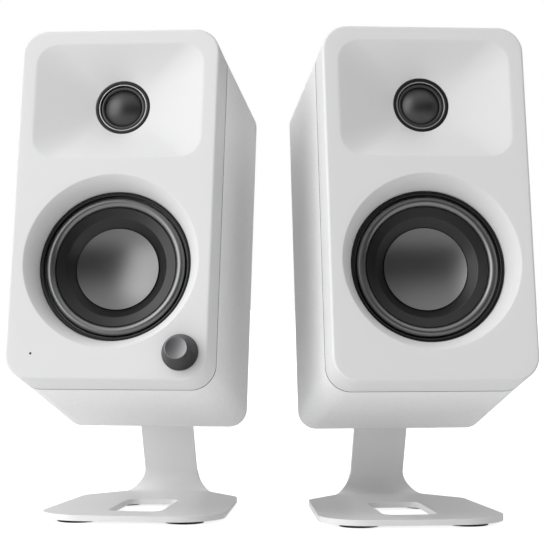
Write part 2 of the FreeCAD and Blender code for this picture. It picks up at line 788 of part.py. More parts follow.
def tweeter_trim_ring():
    """Thin bright ring around the diaphragm."""
    outer = silver_ring_outer()
    near = THROAT_D + FREE_GAP
    far = TWEETER_LAND_D + FREE_GAP
    bore = rod(outer - SILVER_RING_W, near - 1, far + 1, 0, TWEETER_V)
    return rod(outer, near, far, 0, TWEETER_V).cut(bore)


def tweeter_dome():
    """Soft dome and its roll edge, moulded as one diaphragm."""
    rim = TWEETER_LAND_D - 2 * FREE_GAP
    edge_r = silver_ring_outer() - SILVER_RING_W - FREE_GAP
    front = cap_arc(DOME_R, rim, rim - DOME_RISE)
    back = cap_arc(DOME_R, rim + DOME_T, rim - DOME_RISE + DOME_T)
    roll_mid = (edge_r + DOME_R) / 2
    roll_h = (edge_r - DOME_R) / 2
    return turned(
        [
            front,
            (front[2], (roll_mid, rim - roll_h), (edge_r, rim)),
            ((edge_r, rim), (edge_r, rim + DOME_T)),
            ((edge_r, rim + DOME_T), (roll_mid, rim - roll_h + DOME_T), back[2]),
            tuple(reversed(back)),
            (back[0], front[0]),
        ],
        0,
        TWEETER_V,
    )


def tweeter_coil_radii():
    """Inner and outer radius of the tweeter's coil."""
    return DOME_R - DOME_T, DOME_R


def tweeter_voice_coil():
    """Coil that hangs behind the dome's edge."""
    inner, outer = tweeter_coil_radii()
    near = TWEETER_LAND_D - 2 * FREE_GAP + DOME_T
    far = near + TWEETER_COIL_L
    return rod(outer, near, far, 0, TWEETER_V).cut(rod(inner, near - 1, far + 1, 0, TWEETER_V))


def tweeter_motor():
    """Steel pot with its magnet and pole disc."""
    inner, outer = tweeter_coil_radii()
    near = TWEETER_BACK_D
    far = near + TWEETER_MOTOR_D
    cup_floor = far - TWEETER_CUP_T
    plate_back = near + TWEETER_PLATE_T
    wall_r = TWEETER_MOTOR_R - TWEETER_CUP_T
    pot = turned_polygon(
        [
            (outer + MAGNETIC_GAP, near),
            (TWEETER_MOTOR_R, near),
            (TWEETER_MOTOR_R, far),
            (0, far),
            (0, cup_floor),
            (wall_r, cup_floor),
            (wall_r, plate_back),
            (outer + MAGNETIC_GAP, plate_back),
        ],
        0,
        TWEETER_V,
    )
    split = plate_back + TWEETER_POLE_STEP
    pole = rod(inner - MAGNETIC_GAP, near, split, 0, TWEETER_V)
    magnet = rod(inner - 2 * MAGNETIC_GAP, split, cup_floor, 0, TWEETER_V)
    return Part.makeCompound([pot, pole, magnet])


# ---- front controls

def volume_knob():
    """Tapered knob with a slightly dished end, bored for the shaft."""
    base = -KNOB_GAP
    tip = base - KNOB_L
    bore_end = base - SHAFT_IN_KNOB
    dish = cap_arc(KNOB_TOP_R - KNOB_LIP, tip, tip + KNOB_DISH)
    return turned(
        [
            ((SHAFT_R, base), (KNOB_BASE_R, base)),
            ((KNOB_BASE_R, base), (KNOB_TOP_R, tip + KNOB_LIP)),
            ((KNOB_TOP_R, tip + KNOB_LIP), dish[2]),
            tuple(reversed(dish)),
            (dish[0], (0, bore_end)),
            ((0, bore_end), (SHAFT_R, bore_end)),
            ((SHAFT_R, bore_end), (SHAFT_R, base)),
        ],
        KNOB_X,
        KNOB_INSET,
    )


def encoder_shaft():
    """Shaft pressed into the knob and running in the encoder."""
    return rod(SHAFT_R, -KNOB_GAP - SHAFT_IN_KNOB, WALL + BUSHING_L + ENCODER_T / 2, KNOB_X, KNOB_INSET)


def encoder_body():
    """Rotary encoder behind the face, with its bushing."""
    near = WALL
    box_near = near + BUSHING_L
    bushing = rod(BUSHING_R, near, box_near, KNOB_X, KNOB_INSET)
    case = block(KNOB_X, KNOB_INSET, ENCODER_W / 2, ENCODER_W / 2, box_near, box_near + ENCODER_T)
    bore = rod(SHAFT_R + RUNNING_FIT, near - 1, box_near + ENCODER_T / 2 + FREE_GAP, KNOB_X, KNOB_INSET)
    return bushing.fuse(case).removeSplitter().cut(bore)


def led_pipe():
    """Light pipe of the status lamp, flush with the face."""
    pin = rod(LED_R, 0, WALL, LED_X, LED_INSET)
    body = rod(LED_BODY_R, WALL, WALL + LED_BODY_L, LED_X, LED_INSET)
    return pin.fuse(body).removeSplitter()


# ---- rear controls and sockets

def terminal_body_w():
    """Half width of the terminal block's body behind its flange."""
    return TERMINAL_W / 2 - TERMINAL_STEP


def terminal_body_h():
    """Half height of the terminal block's body behind its flange."""
    return TERMINAL_H / 2 - TERMINAL_STEP


def lever_pivot():
    """Depth and height of the levers' hinge line."""
    depth = PANEL_OUT_D + TERMINAL_T - LEVER_T / 2 - FREE_GAP
    return depth, TERMINAL_V + POCKET_H / 2 - BARREL_R - BARREL_END_GAP


def lever_places():
    """Lateral centres of the two levers."""
    return [-COLUMN_X - LEVER_PITCH / 2, -COLUMN_X + LEVER_PITCH / 2]


def terminal_block_piece():
    """Spring-clip terminal with two lever pockets and the bore for their stubs."""
    outer_d = PANEL_OUT_D + TERMINAL_T
    flange = block(-COLUMN_X, TERMINAL_V, TERMINAL_W / 2, TERMINAL_H / 2, PANEL_OUT_D, outer_d)
    near = PANEL_OUT_D - TERMINAL_BODY_D
    body = block(-COLUMN_X, TERMINAL_V, terminal_body_w(), terminal_body_h(), near, PANEL_OUT_D)
    away = []
    for x in lever_places():
        away.append(block(x, TERMINAL_V, POCKET_W / 2, POCKET_H / 2, outer_d - POCKET_D, outer_d + 1))
    depth, v = lever_pivot()
    reach = terminal_body_w() - STUB_END_WALL
    away.append(cross_rod(STUB_R + RUNNING_FIT, -COLUMN_X - reach, -COLUMN_X + reach, depth, v))
    return flange.fuse(body).removeSplitter().cut(away)


def terminal_lever(x):
    """Finger lever that hangs from its barrel in a pocket."""
    depth, v = lever_pivot()
    half_w = POCKET_W / 2 - LEVER_SIDE_GAP
    bottom = TERMINAL_V - POCKET_H / 2 + LEVER_END_GAP
    plate = block(x, (bottom + v) / 2, half_w, (v - bottom) / 2, depth - LEVER_T / 2, depth + LEVER_T / 2)
    barrel = cross_rod(BARREL_R, x - half_w, x + half_w, depth, v)
    stub = half_w + LEVER_SIDE_GAP + STUB_L
    pin = cross_rod(STUB_R, x - stub, x + stub, depth, v)
    return plate.fuse([barrel, pin]).removeSplitter()


def rocker_pocket_w():
    """Half width of the rocker's pocket."""
    return ROCKER_W / 2 + FREE_GAP


def rocker_pocket_h():
    """Half height of the rocker's pocket, with room for its ends to swing."""
    return ROCKER_H / 2 + ROCKER_END_GAP


def rocker_pivot_d():
    """Depth of the rocker's hinge line."""
    return PANEL_OUT_D - ROCKER_PIVOT_D


def rocker_floor():
    """Depth of the rocker pocket's floor."""
    return rocker_pivot_d() - ROCKER_FLOOR_D


def power_rocker():
    """Rocker switch cap, at rest with its upper end pressed in."""
    half = ROCKER_H / 2
    depth = rocker_pivot_d()
    points = [
        V(0, ROCKER_END_T, -half),
        V(0, ROCKER_MID_T, 0),
        V(0, ROCKER_END_T, half),
        V(0, 0, half),
        V(0, -ROCKER_UNDER_T, half / 2),
        V(0, -ROCKER_UNDER_T, -half / 2),
        V(0, 0, -half),
    ]
    cap = Part.Face(Part.makePolygon(points + [points[0]])).extrude(V(ROCKER_W, 0, 0))
    cap.translate(V(-ROCKER_W / 2, 0, 0))
    reach = rocker_pocket_w() + HOUSING_WALL / 3
    cap = cap.fuse(cross_rod(ROCKER_STUB_R, -reach, reach, 0, 0)).removeSplitter()
    cap.rotate(V(0, 0, 0), LATERAL, ROCKER_TILT)
    cap.translate(V(COLUMN_X, depth, ROCKER_V))
    return cap


def rca_heights():
    """Heights of the two phono sockets."""
    return [RCA_V, RCA_V + RCA_PITCH]


def rca_jacks():
    """Two phono sockets, each a body on the board, a collar in the panel and a barrel behind it."""
    jacks = []
    for v in rca_heights():
        body = block(-COLUMN_X, v, RCA_BODY_HALF_W, RCA_BODY_HALF_W, BOARD_D + BOARD_T, PANEL_IN_D)
        collar = rod(RCA_COLLAR_R, PANEL_IN_D, PANEL_OUT_D, -COLUMN_X, v)
        barrel = rod(RCA_BARREL_R, PANEL_OUT_D, PANEL_OUT_D + RCA_BARREL_L, -COLUMN_X, v)
        contact = rod(RCA_CONTACT_R, PANEL_OUT_D, PANEL_OUT_D + RCA_BARREL_L + 1, -COLUMN_X, v)
        jacks.append(body.fuse([collar, barrel]).removeSplitter().cut(contact))
    return Part.makeCompound(jacks)


def aux_jack():
    """Small stereo jack socket."""
    mouth = PANEL_OUT_D + AUX_NOSE_L
    body = block(-COLUMN_X, AUX_V, AUX_BODY_HALF_W, AUX_BODY_HALF_H, BOARD_D + BOARD_T, PANEL_IN_D)
    nose = rod(AUX_BORE_R + AUX_NOSE_WALL, PANEL_IN_D, mouth, -COLUMN_X, AUX_V)
    bore = rod(AUX_BORE_R, mouth - AUX_BORE_L, mouth + 1, -COLUMN_X, AUX_V)
    return body.fuse(nose).removeSplitter().cut(bore)


def dc_inlet():
    """Low-voltage power inlet with its centre pin."""
    body = block(COLUMN_X, DC_V, DC_BODY_HALF_W, DC_BODY_HALF_H, BOARD_D + BOARD_T, PANEL_OUT_D)
    floor = PANEL_OUT_D - DC_BORE_L
    bore = rod(DC_BORE_R, floor, PANEL_OUT_D + 1, COLUMN_X, DC_V)
    pin = rod(DC_PIN_R, floor - 1, PANEL_OUT_D - DC_PIN_SET_BACK, COLUMN_X, DC_V)
    return body.cut(bore).fuse(pin).removeSplitter()


# ---- circuit boards

def board_blank():
    """Printed board on the rear panel's standoffs."""
    middle = BOARD_BOTTOM + BOARD_H / 2
    return block(0, middle, BOARD_HALF_W, BOARD_H / 2, BOARD_D, BOARD_D + BOARD_T)


def amp_board():
    """Amplifier board with its heat sink, capacitors and output coils, all soldered on."""
    middle = BOARD_BOTTOM + BOARD_H / 2
    sink_near = BOARD_D - SINK_D
    parts = [block(0, middle + SINK_V, SINK_HALF_W, SINK_T / 2, sink_near, BOARD_D)]
    for i in range(FIN_COUNT):
        x = (i - (FIN_COUNT - 1) / 2) * FIN_PITCH
        parts.append(block(x, middle + SINK_V, FIN_T / 2, FIN_H / 2, sink_near, BOARD_D))
    for x in CAPACITOR_X:
        parts.append(rod(CAPACITOR_R, BOARD_D - CAPACITOR_L, BOARD_D, x, middle + PARTS_V))
    for x in INDUCTOR_X:
        half = INDUCTOR_W / 2
        parts.append(block(x, middle + PARTS_V, half, half, BOARD_D - INDUCTOR_T, BOARD_D))
    return board_blank().fuse(parts).removeSplitter()


def crossover_board():
    """Passive unit's board with its coil and film capacitors, all soldered on."""
    middle = BOARD_BOTTOM + BOARD_H / 2
    near = BOARD_D - WINDING_T
    winding = rod(WINDING_R, near, BOARD_D, WINDING_X, middle)
    parts = [winding.cut(rod(WINDING_BORE_R, near - 1, BOARD_D - 1, WINDING_X, middle))]
    for v in (middle - FILM_V, middle + FILM_V):
        parts.append(block(FILM_X, v, FILM_W / 2, FILM_H / 2, BOARD_D - FILM_T, BOARD_D))
    return board_blank().fuse(parts).removeSplitter()


# ---- stand, in the unit frame

def back_point(depth, v):
    """Unit-frame (y, z) of a cabinet point at a depth and a height up the face."""
    tilt = math.radians(TILT_BACK)
    y = depth * math.cos(tilt) + v * math.sin(tilt)
    z = FACE_LIFT - depth * math.sin(tilt) + v * math.cos(tilt)
    return y, z


def strap_foot_y():
    """Level distance behind the face's bottom edge where the strap's front meets the base's top."""
    corner_y, corner_z = back_point(FLANGE_D, FLANGE_BOTTOM_V)
    return corner_y + (corner_z - PLATE_TOP_Z) * math.tan(math.radians(STRAP_LEAN))


def base_neck_y():
    """Where the base has narrowed to the strap's width."""
    return strap_foot_y() - BASE_NECK_SETBACK


def strap_section():
    """Side outline of the bent strip: tail of the base, leaning strap and flange."""
    tilt = math.radians(TILT_BACK)
    lean = math.radians(STRAP_LEAN)
    top_y, top_z = back_point(FLANGE_D, FLANGE_TOP_V)
    corner_y, corner_z = back_point(FLANGE_D, FLANGE_BOTTOM_V)
    foot_turn = math.radians(90 + STRAP_LEAN)
    top_turn = lean + tilt
    foot_reach = PLATE_T * math.tan(foot_turn / 2)
    bend_reach = PLATE_T * math.tan(top_turn / 2)
    front = [
        V(0, base_neck_y(), PLATE_TOP_Z),
        V(0, strap_foot_y(), PLATE_TOP_Z),
        V(0, corner_y, corner_z),
        V(0, top_y, top_z),
    ]
    through = V(0, math.cos(tilt), -math.sin(tilt)) * PLATE_T
    up_face = V(0, math.sin(tilt), math.cos(tilt))
    back = [
        front[3] + through,
        front[2] + through + up_face * bend_reach,
        front[1] + V(0, foot_reach, -PLATE_T),
        V(0, base_neck_y(), FOOT_T),
    ]
    radii = [0, BEND_R, BEND_R + PLATE_T, 0, 0, BEND_R, BEND_R + PLATE_T, 0]
    return rounded_wire(front + back, radii)


def stand():
    """Bent plate: slotted base, strap and the flange on the cabinet's back."""
    half = STRAP_W / 2
    right = [
        (BASE_FRONT_HALF_W, BASE_FRONT_Y, BASE_CORNER_R),
        (BASE_REAR_HALF_W, strap_foot_y() - BASE_REAR_SETBACK, BASE_CORNER_R),
        (half, base_neck_y(), BASE_NECK_R),
        (half, strap_foot_y() - 2 * BEND_R, 0),
    ]
    left = [(-x, y, radius) for x, y, radius in reversed(right)]
    outline = [(0, BASE_NOSE_Y, BASE_BOW_R)] + right + left
    points = [V(x, y, FOOT_T) for x, y, radius in outline]
    base = Part.Face(rounded_wire(points, [entry[2] for entry in outline])).extrude(V(0, 0, PLATE_T))
    slot_rear = strap_foot_y() - SLOT_REAR_SETBACK
    slot_points = [
        V(-SLOT_HALF_W, SLOT_FRONT_Y, FOOT_T - 1),
        V(SLOT_HALF_W, SLOT_FRONT_Y, FOOT_T - 1),
        V(SLOT_HALF_W, slot_rear, FOOT_T - 1),
        V(-SLOT_HALF_W, slot_rear, FOOT_T - 1),
    ]
    slot = Part.Face(rounded_wire(slot_points, [SLOT_CORNER_R] * 4)).extrude(V(0, 0, PLATE_T + 2))
    strip = Part.Face(strap_section()).extrude(V(STRAP_W, 0, 0))
    strip.translate(V(-half, 0, 0))
    hole_r = STAND_SCREW_R + FREE_GAP
    cutters = [rod(hole_r, FLANGE_D - 1, FLANGE_D + PLATE_T + 1, 0, v) for v in STAND_SCREW_V]
    for side in (-1, 1):
        x = side * (half - FLANGE_CORNER_R / 2)
        v = FLANGE_TOP_V - FLANGE_CORNER_R / 2
        half_cut = FLANGE_CORNER_R / 2 + 0.01
        corner = block(x, v, half_cut, half_cut, FLANGE_D - 1, FLANGE_D + PLATE_T + 1)
        keep_x = side * (half - FLANGE_CORNER_R)
        keep_v = FLANGE_TOP_V - FLANGE_CORNER_R
        keep = rod(FLANGE_CORNER_R, FLANGE_D - 2, FLANGE_D + PLATE_T + 2, keep_x, keep_v)
        cutters.append(corner.cut(keep))
    cutters = [cabinet_to_unit(cutter) for cutter in cutters]
    return base.cut(slot).fuse(strip).removeSplitter().cut(cutters)


def stand_feet():
    """Four rubber discs under the base."""
    rear_foot = (REAR_FOOT_X, strap_foot_y() - REAR_FOOT_SETBACK)
    places = [(sx * x, y) for x, y in (FRONT_FOOT, rear_foot) for sx in (-1, 1)]
    return Part.makeCompound([Part.makeCylinder(FOOT_R, FOOT_T, V(x, y, 0)) for x, y in places])


def stand_pad():
    """Rubber pad between the flange and the rear panel."""
    half = STRAP_W / 2 + PAD_MARGIN
    pad = prism(half, FLANGE_BOTTOM_V, FLANGE_TOP_V + PAD_MARGIN, FLANGE_CORNER_R, PANEL_OUT_D, FLANGE_D)
    hole_r = STAND_SCREW_R + FREE_GAP
    return pad.cut([rod(hole_r, PANEL_OUT_D - 1, FLANGE_D + 1, 0, v) for v in STAND_SCREW_V])


def stand_screws():
    """Two larger screws through flange, pad and panel."""
    seat = FLANGE_D + PLATE_T
    screws = []
    for v in STAND_SCREW_V:
        shank = rod(STAND_SCREW_R, stand_screw_tip(), seat, 0, v)
        head = rod(STAND_SCREW_HEAD_R, seat, seat + STAND_SCREW_HEAD_T, 0, v)
        screws.append(shank.fuse(head).removeSplitter())
    return Part.makeCompound(screws)


# ---- assembly

def unit_pieces(side):
    """Every piece of one unit by node name, in the unit frame."""
    active = side == "left"
    cabinet_pieces = {
        "front_baffle": front_baffle(active),
        "cabinet_shell": cabinet_shell(),
        "rear_panel": rear_panel(active),
        "case_screws": case_screws(),
        "woofer_basket": woofer_basket(),
        "woofer_trim_ring": woofer_trim_ring(),
        "woofer_surround": woofer_surround(),
        "woofer_cone": woofer_cone(),
        "woofer_dust_cap": woofer_dust_cap(),
        "woofer_voice_coil": woofer_voice_coil(),
        "woofer_spider": woofer_spider(),
        "woofer_magnet": woofer_magnet(),
        "woofer_pole_pieces": woofer_pole_pieces(),
        "tweeter_faceplate": tweeter_faceplate(),
        "tweeter_trim_ring": tweeter_trim_ring(),
        "tweeter_dome": tweeter_dome(),
        "tweeter_voice_coil": tweeter_voice_coil(),
        "tweeter_motor": tweeter_motor(),
        "terminal_block": terminal_block_piece(),
        "terminal_lever_red": terminal_lever(lever_places()[0]),
        "terminal_lever_black": terminal_lever(lever_places()[1]),
        "stand_pad": stand_pad(),
        "stand_screws": stand_screws(),
    }
    if active:
        cabinet_pieces.update(
            {
                "volume_knob": volume_knob(),
                "encoder_shaft": encoder_shaft(),
                "encoder_body": encoder_body(),
                "led_pipe": led_pipe(),
                "amp_board": amp_board(),
                "rca_jacks": rca_jacks(),
                "aux_jack": aux_jack(),
                "dc_inlet": dc_inlet(),
                "power_rocker": power_rocker(),
            }
        )
    else:
        cabinet_pieces["crossover_board"] = crossover_board()
    pieces = {name: cabinet_to_unit(shape) for name, shape in cabinet_pieces.items()}
    pieces["stand"] = stand()
    pieces["stand_feet"] = stand_feet()
    return pieces


def desk_pieces():
    """Both units on the desk, each node name led by its side."""
    pieces = {}
    for side in ("left", "right"):
        for name, shape in unit_pieces(side).items():
            pieces[side + "_" + name] = unit_to_desk(shape, side)
    return pieces


def row_shift(pieces):
    """Move that brings the pair's bottom centre to the origin."""
    boxes = [shape.optimalBoundingBox(False, False) for shape in pieces.values()]
    x = (min(box.XMin for box in boxes) + max(box.XMax for box in boxes)) / 2
    y = (min(box.YMin for box in boxes) + max(box.YMax for box in boxes)) / 2
    z = min(box.ZMin for box in boxes)
    return V(-x, -y, -z)


PIECES = desk_pieces()
SHIFT = row_shift(PIECES)
os.makedirs("parts", exist_ok=True)
for node, piece in PIECES.items():
    piece.translate(SHIFT)
    piece.exportStep("parts/" + node + ".step")
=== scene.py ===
"""Looks of a pair of desktop speakers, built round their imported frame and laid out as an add-on.

Every length is in metres. Cabinet pieces are drawn in the cabinet's own directions, lateral, depth
behind the face and height up the face, and stands in level ones; Directions turns both into row points.
"""
import json

import bmesh
import bpy
import numpy as np
from bpy.props import FloatProperty, FloatVectorProperty, IntProperty, PointerProperty
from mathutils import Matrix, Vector


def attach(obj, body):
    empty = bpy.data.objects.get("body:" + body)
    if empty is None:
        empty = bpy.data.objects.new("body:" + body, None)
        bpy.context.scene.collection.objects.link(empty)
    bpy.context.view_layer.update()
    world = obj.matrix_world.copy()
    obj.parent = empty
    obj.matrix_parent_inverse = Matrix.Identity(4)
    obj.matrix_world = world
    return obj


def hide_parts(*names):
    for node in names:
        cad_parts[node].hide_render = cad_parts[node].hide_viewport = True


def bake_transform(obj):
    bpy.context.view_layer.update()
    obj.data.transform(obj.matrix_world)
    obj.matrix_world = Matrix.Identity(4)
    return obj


bl_info = {
    "name": "Desktop Speakers",
    "version": (1, 0, 0),
    "blender": (4, 5, 0),
    "location": "3D View > Sidebar > Speakers",
    "description": "Builds the visible surfaces and finishes of a pair of desktop speakers",
    "category": "Add Mesh",
}

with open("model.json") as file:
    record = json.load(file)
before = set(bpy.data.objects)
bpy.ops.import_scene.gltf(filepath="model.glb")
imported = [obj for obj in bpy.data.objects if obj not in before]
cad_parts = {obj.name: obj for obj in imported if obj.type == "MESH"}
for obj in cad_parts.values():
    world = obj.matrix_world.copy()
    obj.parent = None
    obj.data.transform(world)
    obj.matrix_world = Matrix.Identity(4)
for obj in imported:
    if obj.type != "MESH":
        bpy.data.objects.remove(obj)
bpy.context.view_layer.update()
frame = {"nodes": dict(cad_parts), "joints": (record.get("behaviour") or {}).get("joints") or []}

SIDES = ("left", "right")
MM = 0.001
TURN = 2 * np.pi
SENSOR_MM = 36
SHARP_BEND_DEG = 38
MATERIALS = {}

# Faces across each curve or face
EDGE_STEPS = 8
REAR_EDGE_STEPS = 6
FLARE_STEPS = 21
FLARE_LIP_STEPS = 6
WAVEGUIDE_STEPS = 24
WAVEGUIDE_LIP_STEPS = 8
LOWER_FACE_ROWS = 5
UPPER_FACE_ROWS = 3
CAP_STEPS = 24
CONE_BEND_STEPS = 8
RIPPLE_STEPS = 12
DOME_ROLL_STEPS = 12
LIP_STEPS = 6
DISH_STEPS = 14
GRIP_STEPS = 24
LENS_STEPS = 8
LENS_SEGMENTS = 48
BEND_STEPS = 18
NECK_STEPS = 24
STRAP_CORNER_STEPS = 12
SLOT_CORNER_STEPS = 40
BASE_ROWS = 5
FOOT_EDGE_STEPS = 4
FOOT_SEGMENTS = 64

MERGE_REACH = 2e-6
NO_LENGTH = 1e-7
NEAR_ZERO = 1e-9
CLIP_END = 50.0
SLIT_CHAMFER = 6  # the slit's edge is cut back by its width over this
SLOT_FINENESS = 8  # points on the slot's outline for each sample of the plate
DISH_INSET = 1.4  # the knob's hollow ends this many lips inside the top's edge
SPUN_INSET = 0.6  # the spun finish ends this many lips inside the top's edge


# ---- directions and measures, from the frame

def unit(vector):
    """Vector of length one along the given one."""
    return vector / np.linalg.norm(vector)


def joint_axis(name):
    """Unit vector along a joint's axis."""
    return unit(np.array(next(joint["axis"] for joint in frame["joints"] if joint["name"] == name), float))


def node_points(node):
    """A node's vertices as an array of row points."""
    mesh = frame["nodes"][node].data
    flat = np.empty(len(mesh.vertices) * 3, np.float32)
    mesh.vertices.foreach_get("co", flat)
    return flat.reshape(-1, 3).astype(float)


class Directions:
    """An origin with lateral, depth and up vectors, which place arrays of lengths in the row."""

    def __init__(self, origin, lateral, depth, up):
        self.origin = origin
        self.lateral = lateral
        self.depth = depth
        self.up = up

    def place(self, x, y, z):
        """Row points of lateral, depth and up lengths: origin plus each length along its vector."""
        x, y, z = np.broadcast_arrays(x, y, z)
        moved = x[..., None] * self.lateral + y[..., None] * self.depth + z[..., None] * self.up
        return self.origin + moved

    def lengths(self, points):
        """Lateral, depth and up lengths of row points."""
        moved = points - self.origin
        return np.stack([moved @ self.lateral, moved @ self.depth, moved @ self.up], -1)

    def measure(self, node):
        """A node's vertices as lateral, depth and up lengths."""
        return self.lengths(node_points(node))


def cabinet_directions(side):
    """A cabinet's directions, from the middle of its face's bottom edge."""
    depth = -joint_axis(side + "_woofer_stroke")
    lateral = joint_axis(side + "_lever_red_press")
    up = np.cross(lateral, depth)
    loose = Directions(np.zeros(3), lateral, depth, up)
    low = loose.measure(side + "_front_baffle").min(0)
    high = loose.measure(side + "_front_baffle").max(0)
    return Directions(loose.place((low[0] + high[0]) / 2, low[1], low[2]), lateral, depth, up)


def stand_directions(side):
    """Level directions of a stand, from the desk below the face's bottom edge."""
    cabinet = CABINETS[side]
    depth = unit(cabinet.depth * (1, 1, 0))
    return Directions(cabinet.origin * (1, 1, 0), cabinet.lateral, depth, np.array([0.0, 0.0, 1.0]))


class RoundPart:
    """Centre, radii and depths of a part that is round about a depth-wise axis."""

    def __init__(self, side, node):
        self.side, self.node = side, node
        points = CABINETS[side].measure(side + "_" + node)
        self.x, self.v = (points[:, (0, 2)].min(0) + points[:, (0, 2)].max(0)) / 2
        radii = np.hypot(points[:, 0] - self.x, points[:, 2] - self.v)
        self.inner = radii.min()
        self.outer = radii.max()
        self.near, self.far = points[:, 1].min(), points[:, 1].max()


CABINETS = {side: cabinet_directions(side) for side in SIDES}
STANDS = {side: stand_directions(side) for side in SIDES}


# ---- meshes

def grid_quads(rows, columns, wrap_rows=False, wrap_columns=False):
    """Corner numbers of a grid's faces; a wrapped side joins its last line to its first."""
    i = np.arange(rows if wrap_rows else rows - 1)[:, None]
    j = np.arange(columns if wrap_columns else columns - 1)[None, :]
    ahead = (i + 1) % rows
    across = (j + 1) % columns
    corners = [i * columns + j, i * columns + across, ahead * columns + across, ahead * columns + j]
    return np.stack(np.broadcast_arrays(*corners), -1).reshape(-1, 4)


def fan(ring, pole):
    """Triangles from a closed ring of corner numbers to one pole."""
    return np.stack([ring, np.roll(ring, -1), np.full(len(ring), pole)], -1)


def make_mesh(name, parts, facing=None):
    """Object of several (points, faces) parts, merged where they meet, smooth but for sharp bends.

    Closed parts are turned so that their volume is positive, and open ones so that their mean
    normal agrees with the facing vector.
    """
    points = np.concatenate([part[0] for part in parts])
    start = 0
    faces = []
    for part_points, *part_faces in parts:
        for some in part_faces:
            faces += (some + start).tolist()
        start += len(part_points)
    mesh = bpy.data.meshes.new(name)
    mesh.from_pydata(points.tolist(), [], faces)
    cells = bmesh.new()
    cells.from_mesh(mesh)
    bmesh.ops.remove_doubles(cells, verts=cells.verts, dist=MERGE_REACH)
    bmesh.ops.dissolve_degenerate(cells, edges=cells.edges, dist=NO_LENGTH)
    bmesh.ops.recalc_face_normals(cells, faces=cells.faces)
    if facing is None:
        inside_out = cells.calc_volume(signed=True) < 0
    else:
        areas = np.array([np.array(cell.normal) * cell.calc_area() for cell in cells.faces])
        inside_out = areas.sum(0) @ facing < 0
    if inside_out:
        bmesh.ops.reverse_faces(cells, faces=cells.faces)
    cells.to_mesh(mesh)
    cells.free()
    mesh.polygons.foreach_set("use_smooth", np.ones(len(mesh.polygons), bool))
    mesh.set_sharp_from_angle(angle=np.radians(SHARP_BEND_DEG))
    piece = bpy.data.objects.new(name, mesh)
    bpy.context.scene.collection.objects.link(piece)
    return piece


def finish_piece(piece, body, material, node):
    """Give a piece its material, set it on its body and let it stand for a CAD node.
    """
    piece.data.materials.append(MATERIALS[material])
    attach(piece, body)
    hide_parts(node)


def face_lengths(piece, cabinet):
    """Lateral, depth and up lengths of the middles of a piece's faces."""
    middles = np.empty(3 * len(piece.data.polygons))
    piece.data.polygons.foreach_get("center", middles)
    return cabinet.lengths(middles.reshape(-1, 3))


def second_finish(piece, material, chosen):
    """Give the chosen faces another material than the piece's first."""
    piece.data.materials.append(MATERIALS[material])
    piece.data.polygons.foreach_set("material_index", chosen.astype(np.int32))


def rounded(corners, radii, steps=6, closed=True):
    """Points of a straight-sided outline with rounded corners.

    Each corner is an arc tangent to its two sides: its centre is on the corner's bisector, and its
    points are the spherical blend between the two tangent points' directions. A radius of 0 is sharp.
    """
    corners = np.asarray(corners, float)
    pieces = []
    for i, corner in enumerate(corners):
        if radii[i] == 0 or (not closed and i in (0, len(corners) - 1)):
            pieces.append(corner[None])
            continue
        back = unit(corners[i - 1] - corner)
        ahead = unit(corners[(i + 1) % len(corners)] - corner)
        half = np.arccos(np.clip(back @ ahead, -1, 1)) / 2
        centre = corner + unit(back + ahead) * radii[i] / np.sin(half)
        start = corner + back * radii[i] / np.tan(half) - centre
        end = corner + ahead * radii[i] / np.tan(half) - centre
        turn = np.pi - 2 * half
        t = np.linspace(0, 1, steps + 1)[:, None]
        pieces.append(centre + (np.sin((1 - t) * turn) * start + np.sin(t * turn) * end) / np.sin(turn))
    return np.concatenate(pieces)


def arc(centre, radius, start_deg, end_deg, steps):
    """Points of a circular arc, as centre plus radius times cosine and sine."""
    angle = np.radians(np.linspace(start_deg, end_deg, steps + 1))
    return np.stack([centre[0] + radius * np.cos(angle), centre[1] + radius * np.sin(angle)], -1)


def cap_profile(radius, rim, centre, steps):
    """(Radius, depth) points of a spherical cap from its rim to its pole."""
    rise = rim - centre
    sphere = (radius ** 2 + rise ** 2) / (2 * abs(rise))
    r = radius * np.cos(np.linspace(0, np.pi / 2, steps + 1))
    sag = sphere - np.sqrt(sphere ** 2 - r ** 2)
    return np.stack([r, centre + np.sign(rise) * sag], -1)


def turned(directions, x, v, profile, segments):
    """Closed surface of revolution: each (radius, depth) point of the profile goes round the axis.

    A profile that starts or ends on the axis is closed there by a pole; one that does neither is a
    closed loop and makes a ring.
    """
    profile = np.asarray(profile, float)
    pole_first = profile[0, 0] < NO_LENGTH
    pole_last = profile[-1, 0] < NO_LENGTH
    body = profile[int(pole_first):len(profile) - int(pole_last)]
    angle = np.linspace(0, TURN, segments, endpoint=False)
    r, depth = body[:, :1], body[:, 1:]
    points = directions.place(x + r * np.cos(angle), depth + 0 * angle, v + r * np.sin(angle)).reshape(-1, 3)
    loop = not (pole_first or pole_last)
    faces = [grid_quads(len(body), segments, loop, True)]
    for pole, row, at in ((pole_first, 0, 0), (pole_last, len(body) - 1, -1)):
        if pole:
            points = np.concatenate([points, directions.place(x, profile[at, 1], v)[None]])
            faces.append(fan(np.arange(segments) + row * segments, len(points) - 1))
    return (points, *faces)


# ---- settings

def length(description, mm, low=0.0):
    """Length property, whose default and lower bound are given in millimetres."""
    return FloatProperty(description=description, default=mm * MM, min=low * MM, unit="LENGTH", precision=5)


def fraction(description, default, low=0.0):
    """Factor property that runs up to one."""
    return FloatProperty(description=description, default=default, min=low, max=1, subtype="FACTOR")


def degrees(description, default):
    """Angle property, whose default is given in degrees."""
    return FloatProperty(description=description, default=np.radians(default), unit="ROTATION")


def positive(description, default):
    """Plain number property that is not negative."""
    return FloatProperty(description=description, default=default, min=0)


def whole(description, default, low, high):
    """Whole number property."""
    return IntProperty(description=description, default=default, min=low, max=high)


def colour(description, *default):
    """Colour property, linear red, green and blue."""
    return FloatVectorProperty(description=description, default=default, min=0, max=1, size=3,
                               subtype="COLOR")


